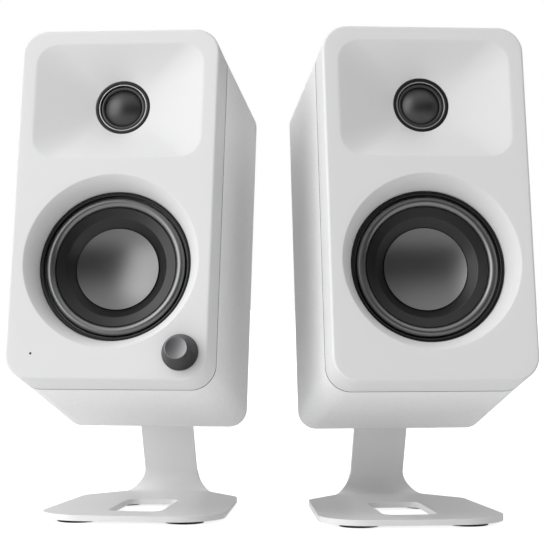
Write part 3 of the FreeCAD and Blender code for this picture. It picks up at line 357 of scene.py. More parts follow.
def labelled(group):
    """Label each setting of a group with its own name in words."""
    for name, setting in group.__annotations__.items():
        setting.keywords["name"] = name.replace("_", " ").capitalize()
    return group


@labelled
class SpeakerCabinetSettings(bpy.types.PropertyGroup):
    """Sizes and colours of the two cabinets."""

    edge_radius: length("Radius of the edge round the face", 1.3)
    corner_radius: length("Radius of the cabinet's long corners", 12.4)
    rear_corner_radius: length("Radius of the long corners at the rear", 9.6)
    seam_width: length("Width of the slit at the baffle's rear edge", 1.0)
    seam_depth: length("Depth of the slit at the baffle's rear edge", 0.8)
    shell_chamfer: length("Chamfer of the shell's front edge at the seam", 0.2)
    shell_wall: length("Thickness of the shell's wall", 3.0)
    outline_start: length("Height on the shell's sides at which its outline starts", 62.83)
    skin: length("Thickness of the moulded baffle's skin", 1.2)
    flare_lead: fraction("Straight share of the woofer's flare; the rest is a quarter ellipse", 0.42)
    flare_lip: fraction("Softness of the flare's outer edge, as a share of its width", 0.05, 0.001)
    mouth_corner: length("Corner radius of the waveguide's mouth", 11.0)
    mouth_lip: length("Softness of the waveguide's outer edge", 0.9)
    sample: length("Distance between samples along the face's outline", 1.5, 0.2)
    ring_gap: length("Gap round the woofer's and the tweeter's rings", 0.15)
    woofer_mouth: length("Outer radius of the woofer's flare", 43.7)
    throat_radius: length("Radius of the waveguide's throat", 13.9)
    mouth_half_width: length("Half width of the waveguide's mouth", 42.5)
    mouth_half_height: length("Half height of the waveguide's mouth", 29.5)
    paint: colour("Satin paint of the moulded baffles", 0.68, 0.68, 0.685)
    shell: colour("Grained finish of the cabinet shells", 0.80, 0.80, 0.805)


@labelled
class SpeakerDriverSettings(bpy.types.PropertyGroup):
    """Sizes and colours of the woofers and tweeters."""

    segments: whole("Faces round each driver", 192, 24, 512)
    ring_edge: length("Rounding of the woofer ring's edges", 0.5)
    roll: length("Outer radius of the surround's roll", 2.7)
    roll_steps: whole("Faces across each half of the roll", 24, 4, 64)
    land: length("Width of the surround's flange and its foot", 0.9)
    sheet: length("Thickness of the surround and the dust cap", 0.6)
    cone_sheet: length("Thickness of the cone", 0.7)
    shoulder_width: length("Width of the cone's flat outer band", 4.7)
    shoulder_drop: length("Depth over the cone's flat outer band", 1.4)
    shoulder_bend: length("Radius of the bend inside the cone's flat band", 1.6)
    foot_radius: length("Radius where the cone goes under the dust cap", 20.9)
    foot_drop: length("Depth of the cone's foot behind its edge", 5.2)
    foot_bend: length("Radius of the bend at the cone's foot", 3.0)
    spider_dish: length("Depth of the spider's middle behind its edge", 2.2)
    spider_ripple: length("Height of the spider's ripples", 0.3)
    spider_ripples: whole("Ripples of the spider", 5, 1, 12)
    spider_flange: length("Width of the spider's glued edge", 2.0)
    dome_radius: length("Radius of the tweeter's dome", 9.4)
    dome_rise: length("Height of the dome over its edge", 3.8)
    dome_sheet: length("Thickness of the dome", 0.35)
    throat_ring: length("Width of the tweeter's black ring", 1.5)
    throat_land: length("Depth of the black ring before its flange", 2.5)
    fine_edge: length("Rounding of the tweeter rings' edges", 0.22)
    rubber: colour("Rubber of the surround", 0.003, 0.003, 0.0032)
    cone: colour("Woofer cone", 0.003, 0.003, 0.0032)
    cap: colour("Satin dust cap", 0.007, 0.007, 0.0073)
    dome: colour("Tweeter dome", 0.005, 0.005, 0.0053)


@labelled
class SpeakerKnobSettings(bpy.types.PropertyGroup):
    """Sizes and colours of the volume knob and the power light."""

    ribs: whole("Grip ribs round the knob", 72, 0, 200)
    rib_height: length("Height of the grip ribs", 0.11)
    rib_samples: whole("Faces round each rib", 6, 4, 16)
    top_radius: length("Radius of the knob's top", 5.8)
    lip: length("Width and height of the rounded lip round the top", 0.4)
    edge: length("Chamfer of the knob's base edge", 0.3)
    grip_start: fraction("Where the ribs start, as a share of the height", 0.12)
    grip_end: fraction("Where the ribs end, as a share of the height", 0.9)
    grip_fade: fraction("Share of the height over which the ribs rise", 0.05, 0.01)
    dish: length("Hollow of the knob's top", 0.5)
    bore: length("Radius of the bore for the shaft", 3.0)
    bore_depth: length("Depth of the bore for the shaft", 8.0)
    lens_radius: length("Radius of the light's lens", 0.6)
    lens_seat: length("Depth behind the face at which the light pipe widens", 3.0)
    lens_rise: length("Height of the light's lens over the face", 0.12)
    tint: colour("Black side of the knob", 0.003, 0.003, 0.0032)
    top_tint: colour("Spun metal of the knob's top", 0.19, 0.19, 0.195)


@labelled
class SpeakerStandSettings(bpy.types.PropertyGroup):
    """Sizes and colour of the stands; level distances are behind the face's bottom edge."""

    foot_height: length("Thickness of the rubber feet", 1.6)
    plate: length("Thickness of the bent plate", 3.0)
    edge: length("Rounding of the plate's edges", 0.35)
    bend: length("Inner radius of the plate's bends", 8.0)
    lean: degrees("Forward lean of the strap", 26.4)
    strap_width: length("Width of the strap", 29.0)
    strap_corner: length("Corner radius at the flange's top", 6.0)
    nose: length("Level distance of the base's front edge", 47.0)
    front: length("Level distance of the front corners", 50.5)
    front_half_width: length("Half width at the front corners", 49.0)
    rear_setback: length("Distance of the rear corners before the strap's foot", 37.0)
    rear_half_width: length("Half width at the rear corners", 42.6)
    neck_rise: length("Distance of the flat blank's neck past the strap's foot", 0.5)
    front_corner: length("Radius of the base's front corners", 25.0)
    rear_corner: length("Radius of the base's rear corners", 11.0)
    neck: length("Radius where the flat blank narrows to the strap", 14.0)
    bow: length("Radius of the base's bowed front edge", 290.0)
    slot_front: length("Level distance of the slot's front end", 71.0)
    slot_setback: length("Distance of the slot's rear end before the strap's foot", 55.0)
    slot_half_width: length("Half width of the slot", 14.0)
    slot_corner: length("Corner radius of the slot", 6.0)
    flange_bottom: length("Height of the flange's lower bend up the face", 44.07)
    flange_top: length("Height of the flange's top up the face", 84.0)
    foot_radius: length("Radius of the rubber feet", 10.0)
    foot_edge: length("Rounding of the feet's edges", 0.4)
    front_foot_half: length("Half distance between the front feet", 28.0)
    front_foot: length("Level distance of the front feet", 64.0)
    rear_foot_half: length("Half distance between the rear feet", 20.0)
    rear_foot_setback: length("Distance of the rear feet before the strap's foot", 39.0)
    sample: length("Distance between samples on the plate", 2.0, 0.5)
    tint: colour("Painted steel of the stands", 0.80, 0.80, 0.805)


@labelled
class SpeakerStageSettings(bpy.types.PropertyGroup):
    """Camera, lights and floor."""

    distance: length("Distance of the camera before the pair", 1115.9)
    height: length("Height of the camera above the desk", 127.5)
    offset: length("Lateral place of the camera", 0.95, -1000)
    focal_length: positive("Focal length on the sensor, in millimetres", 142.18)
    floor_half: length("Half width of the floor", 6000)
    key_distance: length("Distance of the soft light from the pair", 2200)
    key_rise: length("Height of the soft light", 1150)
    key_width: length("Width of the soft light", 1900)
    key_height: length("Height of the soft light's face", 2200)
    key_side: degrees("Turn of the soft light to the left of the camera", 54)
    key_power: positive("Power of the soft light on the left, in watts", 16.8)
    sky_heading: FloatVectorProperty(description="Direction of the surround's bright side",
                                     default=(-0.95, -0.2, 0.25), subtype="DIRECTION")
    sky_left: positive("Brightness of the surround on the left", 1.8)
    sky_start: fraction("Cosine from the heading at which the bright side starts", 0.5)
    sky_full: fraction("Cosine from the heading at which the bright side is full", 0.85)
    sky_top: positive("Brightness that the surround gains overhead", 1.1)
    sky_top_start: fraction("Sine of the height at which the overhead part starts", 0.35)
    sky_right: positive("Brightness of the surround on the right and in front", 0.10)
    floor_glow: positive("Light that the pale floor gives its surroundings", 0.2)
    floor_shine: positive("Light of the pale floor as it is seen", 0.72)


# ---- node trees

class Tree:
    """Short way to add nodes with their settings and their inputs, values or links."""

    def __init__(self, tree):
        self.tree = tree

    def add(self, kind, inputs, **settings):
        """One node; an input given as a socket is linked and any other value is set."""
        node = self.tree.nodes.new("ShaderNode" + kind)
        for name, value in settings.items():
            setattr(node, name, value)
        self.feed(node, inputs)
        return node

    def feed(self, node, inputs):
        """Link or set a node's inputs by name or number."""
        for name, value in inputs.items():
            if isinstance(value, bpy.types.NodeSocket):
                self.join(value, node.inputs[name])
            else:
                node.inputs[name].default_value = value

    def join(self, output, entry):
        """Link an output socket to an input socket."""
        self.tree.links.new(output, entry)

    def math(self, operation, a, b=0.0, c=0.0):
        """Output of one Math node."""
        return self.add("Math", {0: a, 1: b, 2: c}, operation=operation).outputs[0]

    def noise(self, vector, scale, detail, **inputs):
        """Value of one Noise Texture node."""
        inputs = {"Vector": vector, "Scale": scale, "Detail": detail, **inputs}
        return self.add("TexNoise", inputs).outputs["Fac"]

    def group(self, label, inputs):
        """Output of one of the node groups made below."""
        node = self.add("Group", {}, node_tree=bpy.data.node_groups[label])
        self.feed(node, inputs)
        return node.outputs[0]


def shader_group(name, inputs, output, kind):
    """Empty shader node group with named inputs and one output: its tree, its inputs and its output."""
    group = bpy.data.node_groups.new(name, "ShaderNodeTree")
    for label, default in inputs.items():
        socket = "Float" if isinstance(default, float) else "Color" if len(default) == 4 else "Vector"
        group.interface.new_socket(name=label, in_out="INPUT",
                                   socket_type="NodeSocket" + socket).default_value = default
    group.interface.new_socket(name=output, in_out="OUTPUT", socket_type="NodeSocket" + kind)
    given = group.nodes.new("NodeGroupInput").outputs
    return Tree(group), given, group.nodes.new("NodeGroupOutput").inputs[output]


FINER = 2.7
COARSE_SHARE, FINE_SHARE = 0.55, 0.45
COARSE_ROUGHNESS = 0.55
SMUDGE_STRETCH = (55.0, 55.0, 28.0)
SMUDGE_WARP = 0.6
WOBBLE_SCALE = 0.37
RING_SHARE, WOBBLE_SHARE = 0.25, 0.5


def build_fine_grain():
    """Height of a fine pebbled grain: two noises, one nearly three times as fine."""
    tree, given, height = shader_group("Fine grain", {"Coordinates": (0, 0, 0), "Scale": 900.0}, "Height",
                                       "Float")
    fine_scale = tree.math("MULTIPLY", given["Scale"], FINER)
    coarse = tree.noise(given["Coordinates"], given["Scale"], 2.0, Roughness=COARSE_ROUGHNESS)
    fine = tree.math("MULTIPLY", tree.noise(given["Coordinates"], fine_scale, 1.0), FINE_SHARE)
    tree.join(tree.math("MULTIPLY_ADD", coarse, COARSE_SHARE, fine), height)


def build_tone_drift():
    """Colour times one plus two noises, wide and fine, each between minus and plus its amount."""
    tree, given, colour_out = shader_group(
        "Tone drift",
        {"Colour": (0.5, 0.5, 0.5, 1), "Coordinates": (0, 0, 0), "Scale": 14.0, "Amount": 0.03,
         "Fine scale": 900.0, "Fine amount": 0.02},
        "Colour", "Color")
    factor = 1.0
    for prefix, detail in (("Fine ", 1.0), ("", 3.0)):
        noise = tree.noise(given["Coordinates"], given[(prefix + "scale").capitalize()], detail)
        shift = tree.math("MULTIPLY_ADD", noise, 2.0, -1.0)
        factor = tree.math("MULTIPLY_ADD", shift, given[(prefix + "amount").capitalize()], factor)
    tinted = tree.add("VectorMath", {0: given["Colour"], "Scale": factor}, operation="SCALE")
    tree.join(tinted.outputs[0], colour_out)


def build_handling():
    """Roughness with faint smudges: plus or minus the amount by a stretched noise."""
    tree, given, roughness = shader_group(
        "Handling", {"Roughness": 0.5, "Coordinates": (0, 0, 0), "Amount": 0.05}, "Roughness", "Float")
    stretched = tree.add("VectorMath", {0: given["Coordinates"], 1: SMUDGE_STRETCH}, operation="MULTIPLY")
    noise = tree.noise(stretched.outputs[0], 1.0, 4.0, Distortion=SMUDGE_WARP)
    shift = tree.math("MULTIPLY_ADD", noise, 2.0, -1.0)
    tree.join(tree.math("MULTIPLY_ADD", shift, given["Amount"], given["Roughness"]), roughness)


def build_turning_lines():
    """Height of fine rings about an axis: the sine of the distance from the axis over the pitch."""
    tree, given, height = shader_group(
        "Turning lines",
        {"Coordinates": (0, 0, 0), "Centre": (0, 0, 0), "Axis": (0, 1, 0), "Pitch": 0.0004},
        "Height", "Float")
    arm = tree.add("VectorMath", {0: given["Coordinates"], 1: given["Centre"]}, operation="SUBTRACT")
    cross = tree.add("VectorMath", {0: arm.outputs[0], 1: given["Axis"]}, operation="CROSS_PRODUCT")
    radius = tree.add("VectorMath", {0: cross.outputs[0]}, operation="LENGTH").outputs["Value"]
    turns = tree.math("DIVIDE", radius, given["Pitch"])
    wobble = tree.add("TexNoise", {"W": turns, "Scale": WOBBLE_SCALE, "Detail": 2.0}, noise_dimensions="1D")
    wave = tree.math("SINE", tree.math("MULTIPLY", turns, TURN))
    ring = tree.math("MULTIPLY_ADD", wave, RING_SHARE, RING_SHARE)
    tree.join(tree.math("MULTIPLY_ADD", wobble.outputs["Fac"], WOBBLE_SHARE, ring), height)


def finish(name, tint, roughness, drift, specks, smudge, grain, grain_scale, lines, shader):
    """Material of one finish: drifting tint, smudged roughness and a bump of grain or turning lines.

    grain is the bump's height in millimetres. lines is (centre, axis, pitch, height) of turning lines,
    or None. shader gives values for the Principled shader's own sockets by name.
    """
    material = bpy.data.materials.new(name)
    material.use_nodes = True
    tree = Tree(material.node_tree)
    principled = material.node_tree.nodes["Principled BSDF"]
    coordinates = tree.add("TexCoord", {}).outputs["Object"]
    toned = tree.group("Tone drift", {"Colour": (*tint, 1), "Coordinates": coordinates, "Amount": drift,
                                      "Fine scale": grain_scale, "Fine amount": specks})
    rough = tree.group("Handling", {"Roughness": roughness, "Coordinates": coordinates, "Amount": smudge})
    tree.join(toned, principled.inputs["Base Color"])
    tree.join(rough, principled.inputs["Roughness"])
    bumps = []
    if grain:
        height = tree.group("Fine grain", {"Coordinates": coordinates, "Scale": grain_scale})
        bumps.append((height, grain * MM))
    if lines:
        centre, axis, pitch, depth = lines
        height = tree.group("Turning lines", {"Coordinates": coordinates, "Centre": centre, "Axis": axis,
                                              "Pitch": pitch})
        bumps.append((height, depth))
    below = {}
    for height, depth in bumps:
        bump = tree.add("Bump", {"Height": height, "Distance": depth, "Strength": 1.0, **below})
        below = {"Normal": bump.outputs[0]}
    if below:
        tree.join(below["Normal"], principled.inputs["Normal"])
    for key, value in shader.items():
        principled.inputs[key].default_value = value
    MATERIALS[name] = material


def axis_lines(side, node, pitch, depth):
    """Turning lines about a round part's own axis, as finish takes them, from two lengths in millimetres."""
    cabinet, part = CABINETS[side], RoundPart(side, node)
    centre = cabinet.place(np.array(part.x), np.array(0.0), np.array(part.v))
    return tuple(centre), tuple(cabinet.depth), pitch * MM, depth * MM


# Tint, roughness, drift, specks, smudge, grain's height in millimetres and grain's scale of each finish.
# A tint in words is a setting, by its group and its name.
FINISHES = {
    "panel_plastic": ((0.42, 0.42, 0.425), 0.5, 0.03, 0.03, 0.05, 0.06, 1200.0),
    "socket_black": ((0.018, 0.018, 0.019), 0.42, 0.1, 0.05, 0.06, 0.03, 1500.0),
    "black_screws": ((0.03, 0.03, 0.032), 0.35, 0.1, 0.05, 0.08, 0.01, 1800.0),
    "basket_steel": ((0.04, 0.04, 0.042), 0.45, 0.08, 0.05, 0.06, 0.03, 900.0),
    "spider_cloth": ((0.35, 0.22, 0.08), 0.85, 0.12, 0.12, 0.04, 0.12, 1600.0),
    "ferrite": ((0.035, 0.033, 0.032), 0.65, 0.1, 0.08, 0.05, 0.05, 1100.0),
    "plated_steel": ((0.55, 0.53, 0.45), 0.3, 0.06, 0.03, 0.08, 0.01, 900.0),
    "coil_copper": ((0.72, 0.28, 0.12), 0.35, 0.08, 0.04, 0.05, 0.02, 2400.0),
    "pad_rubber": ((0.025, 0.025, 0.026), 0.8, 0.1, 0.08, 0.05, 0.06, 1300.0),
    "lever_red": ((0.45, 0.02, 0.015), 0.38, 0.06, 0.03, 0.06, 0.02, 1500.0),
    "lever_black": ((0.02, 0.02, 0.021), 0.38, 0.06, 0.03, 0.06, 0.02, 1500.0),
    "jack_metal": ((0.75, 0.74, 0.72), 0.28, 0.05, 0.03, 0.08, 0.01, 1800.0),
    "board_green": ((0.02, 0.12, 0.05), 0.45, 0.1, 0.08, 0.05, 0.04, 900.0),
    "light_pipe": ((0.010, 0.010, 0.011), 0.2, 0.02, 0.01, 0.03, 0.005, 1500.0),
    # painted shade: a near-black finish that stands in for the shadow inside the seam between baffle and
    # shell
    "seam_shade": ((0.10, 0.10, 0.10), 0.7, 0.03, 0.02, 0.02, 0.01, 1200.0),
    "floor_paper": ((0.75, 0.75, 0.75), 0.85, 0.0, 0.004, 0.02, 0.0, 900.0),
    "baffle_paint": (("cabinet", "paint"), 0.55, 0.012, 0.008, 0.03, 0.012, 1500.0),
    "cabinet_grain": (("cabinet", "shell"), 0.62, 0.015, 0.13, 0.03, 0.14, 1100.0),
    "stand_metal": (("stand", "tint"), 0.40, 0.015, 0.02, 0.04, 0.03, 1300.0),
    "knob_dark": (("knob", "tint"), 0.36, 0.04, 0.04, 0.05, 0.01, 1800.0),
    "knob_spun": (("knob", "top_tint"), 0.36, 0.03, 0.02, 0.04, 0.0, 900.0),
}
DRIVER_FINISHES = {
    "ring_black": ((0.004, 0.004, 0.0042), 0.25, 0.06, 0.02, 0.05, 0.008, 1800.0),
    "ring_silver": ((0.55, 0.55, 0.55), 0.3, 0.02, 0.02, 0.04, 0.0, 900.0),
    "surround_rubber": (("driver", "rubber"), 0.32, 0.06, 0.03, 0.05, 0.01, 1600.0),
    "cone_dark": (("driver", "cone"), 0.36, 0.06, 0.05, 0.05, 0.015, 1500.0),
    "cap_satin": (("driver", "cap"), 0.33, 0.03, 0.02, 0.03, 0.006, 1700.0),
    "dome_silk": (("driver", "dome"), 0.4, 0.05, 0.08, 0.04, 0.03, 2600.0),
}
# Round part whose axis the lines turn about, their pitch and their height, in millimetres
TURNING_LINES = {
    "cone_dark": ("woofer_trim_ring", 0.55, 0.02),
    "cap_satin": ("woofer_trim_ring", 0.35, 0.006),
    "ring_silver": ("tweeter_trim_ring", 0.2, 0.004),
    "knob_spun": ("volume_knob", 0.25, 0.006),
}
SHADER_VALUES = {
    "black_screws": {"Metallic": 0.9},
    "basket_steel": {"Metallic": 0.4},
    "plated_steel": {"Metallic": 1.0},
    "coil_copper": {"Metallic": 1.0},
    "jack_metal": {"Metallic": 1.0},
    "ring_silver": {"Metallic": 1.0},
    "knob_spun": {"Metallic": 1.0},
    "knob_dark": {"IOR": 1.42},
    "surround_rubber": {"IOR": 2.5},
    "cone_dark": {"IOR": 1.48},
    "cap_satin": {"IOR": 2.2},
    "dome_silk": {"IOR": 1.7},
    "baffle_paint": {"Specular IOR Level": 0.15},
    "cabinet_grain": {"Specular IOR Level": 0.3},
    "floor_paper": {"Specular IOR Level": 0.1, "Emission Color": (1, 1, 1, 1)},
}


def make_finishes(scene):
    """Make every finish, and each driver finish once for each side."""
    build_fine_grain()
    build_tone_drift()
    build_handling()
    build_turning_lines()
    rows = [("left", "", name, look) for name, look in FINISHES.items()]
    rows += [(side, side + "_", name, look) for side in SIDES for name, look in DRIVER_FINISHES.items()]
    for side, prefix, name, (tint, *look) in rows:
        if isinstance(tint[0], str):
            tint = getattr(getattr(scene, "speaker_" + tint[0]), tint[1])
        lines = axis_lines(side, *TURNING_LINES[name]) if name in TURNING_LINES else None
        finish(prefix + name, tint, *look, lines, SHADER_VALUES.get(name, {}))


# ---- moulded fronts and shells

def outline_samples(keys, step, radius):
    """Samples between key samples (x, v, angle): each run is divided evenly at about the step."""
    keys = np.asarray(keys, float)
    runs = []
    for start, end in zip(keys, keys[1:]):
        span = np.hypot(*(end - start)[:2]) + radius * abs(end[2] - start[2])
        count = int(np.ceil(span / step))
        runs.append(start + (end - start) * np.arange(count)[:, None] / count)
    return np.concatenate(runs + [keys[-1:]])


def cabinet_outline(side, settings, split):
    """Samples (x, v, angle) round the cabinet below and above a height, clockwise from the right.

    The x and v of a sample are the centre of the corner's circle, moved along the sides, and its angle
    is the outward direction, so inset_points is centre plus radius less inset along that direction.
    """
    size = np.ptp(CABINETS[side].measure(side + "_front_baffle"), axis=0)
    radius = settings.corner_radius
    reach = size[0] / 2 - radius
    low, high = radius, size[2] - radius
    quarter = np.pi / 2
    lower = [(reach, split, 0), (reach, low, 0), (reach, low, -quarter), (-reach, low, -quarter),
             (-reach, low, -2 * quarter), (-reach, split, -2 * quarter)]
    upper = [(-reach, split, -2 * quarter), (-reach, high, -2 * quarter), (-reach, high, -3 * quarter),
             (reach, high, -3 * quarter), (reach, high, -4 * quarter), (reach, split, -4 * quarter)]
    return (outline_samples(lower, settings.sample, radius), outline_samples(upper, settings.sample, radius))


def inset_points(samples, radius, inset, growth=0.0):
    """Points (x, v) at an inset inside the outline: centre plus (radius - inset) along the angle.

    A growth widens the corner's radius by that much and draws the centres in by as much, in each
    direction in proportion to their distance from the middle, so the sides stay where they are.
    """
    centres = samples[:, :2]
    middle = (centres.min(0) + centres.max(0)) / 2
    reach = (centres.max(0) - centres.min(0)) / 2
    centres = middle + (centres - middle) * (1 - growth / reach)
    angle = samples[:, 2]
    return centres + (radius + growth - inset) * np.stack([np.cos(angle), np.sin(angle)], -1)


def swept_round(directions, samples, radius, profile, closed):
    """Surface of an (inset, depth, growth) profile carried round the outline, closed or open across."""
    points = []
    for inset, depth, growth in profile:
        ring = inset_points(samples, radius, inset, growth)
        points.append(directions.place(ring[:, 0], depth, ring[:, 1]))
    return np.concatenate(points), grid_quads(len(profile), len(samples), closed, True)


def soft_ramp(value, lip):
    """Zero below minus lip, the value itself above lip, and a parabola that joins them between."""
    return np.where(value < -lip, 0.0, np.where(value > lip, value, (value + lip) ** 2 / (4 * lip)))


def star_rows(centre, boundary, radii, depths, outer_rows):
    """Rows of points on rays from a centre to each boundary point.

    radii and depths are (rows, rays) arrays; then come flat rows that divide the rest of each ray.
    """
    arm = boundary - centre
    reach = np.hypot(arm[:, 0], arm[:, 1])
    way = arm / reach[:, None]
    rest = np.linspace(0, 1, outer_rows + 1)[1:, None]
    radii = np.concatenate([radii, radii[-1] + (reach - radii[-1]) * rest])
    depths = np.concatenate([depths, np.zeros((outer_rows, len(reach)))])
    return centre[0] + radii * way[:, 0], depths, centre[1] + radii * way[:, 1]


def flare_rows(settings, rays, ring_radius, mouth_radius, ring_depth, back_depth):
    """Radii and depths of the woofer's flare.

    q goes from 1 at the ring to 0 at the mouth. Depth is the ring's depth times a mean of q and the
    quarter ellipse one minus root of one less q squared, with q softened at the mouth.
    """
    lip = settings.flare_lip
    q = np.concatenate([np.sin(np.linspace(np.pi / 2, np.arcsin(lip), FLARE_STEPS + 1)),
                        np.linspace(lip, -lip, FLARE_LIP_STEPS + 1)[1:]])
    ramp = soft_ramp(q, lip)
    lead = settings.flare_lead
    depth = ring_depth * (lead * ramp + (1 - lead) * (1 - np.sqrt(1 - ramp ** 2)))
    radius = mouth_radius - (mouth_radius - ring_radius) * q
    radius = np.concatenate([[ring_radius], radius])
    depth = np.concatenate([[back_depth], depth])
    return np.repeat(radius[:, None], rays, 1), np.repeat(depth[:, None], rays, 1)


def waveguide_rows(settings, way, half, throat_radius, throat_depth, back_depth):
    """Radii and depths of the tweeter's waveguide.

    Along each ray s goes from 1 at the round throat to 0 at the mouth, a rounded rectangle: the ray
    meets its side at the smaller of half width over cosine and half height over sine, or, past the
    corner's centre, its corner circle. Depth is the throat's depth times s, softened at the mouth.
    """
    way = np.abs(way)
    corner = settings.mouth_corner
    side = (half / np.maximum(way, NEAR_ZERO)).min(1)
    middle = half - corner
    along = way @ middle
    circle = along + np.sqrt(np.maximum(along ** 2 - middle @ middle + corner ** 2, 0))
    in_corner = np.all(way * side[:, None] > middle, 1)
    mouth = np.where(in_corner, circle, side)
    lip = settings.mouth_lip / (mouth - throat_radius)
    ramp = 1 + (lip - 1) * np.linspace(0, 1, WAVEGUIDE_STEPS + 1)[:, None]
    turn = lip * np.linspace(1, -1, WAVEGUIDE_LIP_STEPS + 1)[1:, None]
    s = np.concatenate([ramp, turn])
    radius = mouth - (mouth - throat_radius) * s
    depth = throat_depth * soft_ramp(s, lip)
    radius = np.concatenate([np.full_like(mouth, throat_radius)[None], radius])
    depth = np.concatenate([np.full_like(mouth, back_depth)[None], depth])
    return radius, depth


def make_front(side, scene):
    """Make a moulded front, with the woofer's flare and the tweeter's waveguide."""
    settings = scene.speaker_cabinet
    cabinet = CABINETS[side]
    woofer = RoundPart(side, "woofer_trim_ring")
    tweeter = RoundPart(side, "tweeter_faceplate")
    ring_radius = woofer.outer + settings.ring_gap
    throat_radius = settings.throat_radius
    woofer_centre = np.array([woofer.x, woofer.v])
    tweeter_centre = np.array([tweeter.x, tweeter.v])
    mouth_top = woofer.v + settings.woofer_mouth
    half = np.array([settings.mouth_half_width, settings.mouth_half_height])
    split = (mouth_top + tweeter.v - half[1]) / 2
    lower, upper = cabinet_outline(side, settings, split)
    radius, edge = settings.corner_radius, settings.edge_radius
    low_edge = inset_points(lower, radius, edge)
    high_edge = inset_points(upper, radius, edge)
    count = int(np.ceil(np.ptp(low_edge[:, 0]) / settings.sample))
    across = np.linspace(high_edge[0, 0], high_edge[-1, 0], count + 1)[1:-1]
    shared = np.stack([across, np.full(count - 1, split)], -1)

    boundary = np.concatenate([low_edge, shared])
    radii, depths = flare_rows(settings, len(boundary), ring_radius, settings.woofer_mouth,
                               woofer.near, woofer.far)
    x, depth, v = star_rows(woofer_centre, boundary, radii, depths, LOWER_FACE_ROWS)
    lower_face = (cabinet.place(x, depth, v).reshape(-1, 3), grid_quads(*x.shape, False, True))

    boundary = np.concatenate([high_edge, shared[::-1]])
    arm = boundary - tweeter_centre
    way = arm / np.hypot(arm[:, 0], arm[:, 1])[:, None]
    land = tweeter.near + scene.speaker_driver.throat_land
    radii, depths = waveguide_rows(settings, way, half, throat_radius, tweeter.near, land)
    x, depth, v = star_rows(tweeter_centre, boundary, radii, depths, UPPER_FACE_ROWS)
    upper_face = (cabinet.place(x, depth, v).reshape(-1, 3), grid_quads(*x.shape, False, True))

    baffle_depths = cabinet.measure(side + "_front_baffle")[:, 1]
    back = np.ptp(baffle_depths)
    slit, bottom = settings.seam_width, settings.seam_depth
    turn = np.linspace(0, np.pi / 2, EDGE_STEPS + 1)
    edge_round = np.stack([edge * (1 - np.sin(turn)), edge * (1 - np.cos(turn))], -1)
    chamfer = slit / SLIT_CHAMFER
    profile = [*edge_round, (0, back - slit - chamfer), (chamfer, back - slit),
               (bottom, back - slit), (bottom, back)]
    profile = [(inset, depth, 0.0) for inset, depth in profile]
    loop = np.concatenate([lower[:-1], upper[:-1]])
    wall = swept_round(cabinet, loop, radius, profile, False)
    piece = make_mesh(side + "_moulded_front", [lower_face, upper_face, wall], -cabinet.depth)
    skin = piece.modifiers.new("Skin", "SOLIDIFY")
    skin.thickness = settings.skin
    skin.offset = -1
    finish_piece(piece, side + "_cabinet", "baffle_paint", side + "_front_baffle")
    # painted shade: the faces inside the baffle's slit are coloured near black for the seam's shadow
    painted_shade_faces = face_lengths(piece, cabinet)[:, 1] > baffle_depths.max() - slit
    second_finish(piece, "seam_shade", painted_shade_faces)


def make_shell(side, scene):
    """Make the grained cabinet shell behind a front."""
    settings = scene.speaker_cabinet
    cabinet = CABINETS[side]
    depths = cabinet.measure(side + "_cabinet_shell")[:, 1]
    near, far = depths.min(), depths.max()
    outline = cabinet_outline(side, settings, settings.outline_start)
    samples = np.concatenate([part[:-1] for part in outline])
    edge, chamfer, wall = settings.edge_radius, settings.shell_chamfer, settings.shell_wall
    turn = np.linspace(0, np.pi / 2, REAR_EDGE_STEPS + 1)
    taper = settings.rear_corner_radius - settings.corner_radius
    rear = [(edge * (1 - np.cos(some)), far - edge * (1 - np.sin(some)), taper) for some in turn]
    profile = [(chamfer, near, 0.0), (0, near + chamfer, 0.0), *rear, (wall, far, taper),
               (wall, near, 0.0)]
    piece = make_mesh(side + "_shell_surface",
                      [swept_round(cabinet, samples, settings.corner_radius, profile, True)])
    finish_piece(piece, side + "_cabinet", "cabinet_grain", side + "_cabinet_shell")
    # painted shade: the pale shell's front chamfer at the seam is coloured near black for the seam's shadow
    painted_shade_faces = face_lengths(piece, cabinet)[:, 1] < near + chamfer
    second_finish(piece, "seam_shade", painted_shade_faces)


# ---- drivers

def turned_piece(part, name, profile):
    """Object of a closed (radius, depth) profile turned round a driver part's axis."""
    segments = bpy.context.scene.speaker_driver.segments
    surface = turned(CABINETS[part.side], part.x, part.v, profile, segments)
    return make_mesh(part.side + "_" + name, [surface])


def rigid_piece(part, name, profile, body, material):
    """Turned piece that stands for a driver part and moves with one body of its side."""
    piece = turned_piece(part, name, profile)
    prefix = part.side + "_"
    finish_piece(piece, prefix + body, prefix + material, prefix + part.node)


def bent_piece(part, name, profile, material):
    """Turned piece that stands for a driver part, with its transform baked in and on no body."""
    piece = turned_piece(part, name, profile)
    piece.data.materials.append(MATERIALS[material])
    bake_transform(piece)
    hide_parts(part.side + "_" + part.node)


def ring_profile(ring, edge):
    """(Radius, depth) profile of a flat ring whose two front edges are rounded."""
    corners = [(ring.inner, ring.far), (ring.inner, ring.near), (ring.outer, ring.near),
               (ring.outer, ring.far)]
    return rounded(corners, [0, edge, edge, 0])


def sheet_profile(front, sheet):
    """Closed profile of a sheet: its front line, then the same line behind it by the sheet."""
    return np.concatenate([front, (front + (0, sheet))[::-1]])


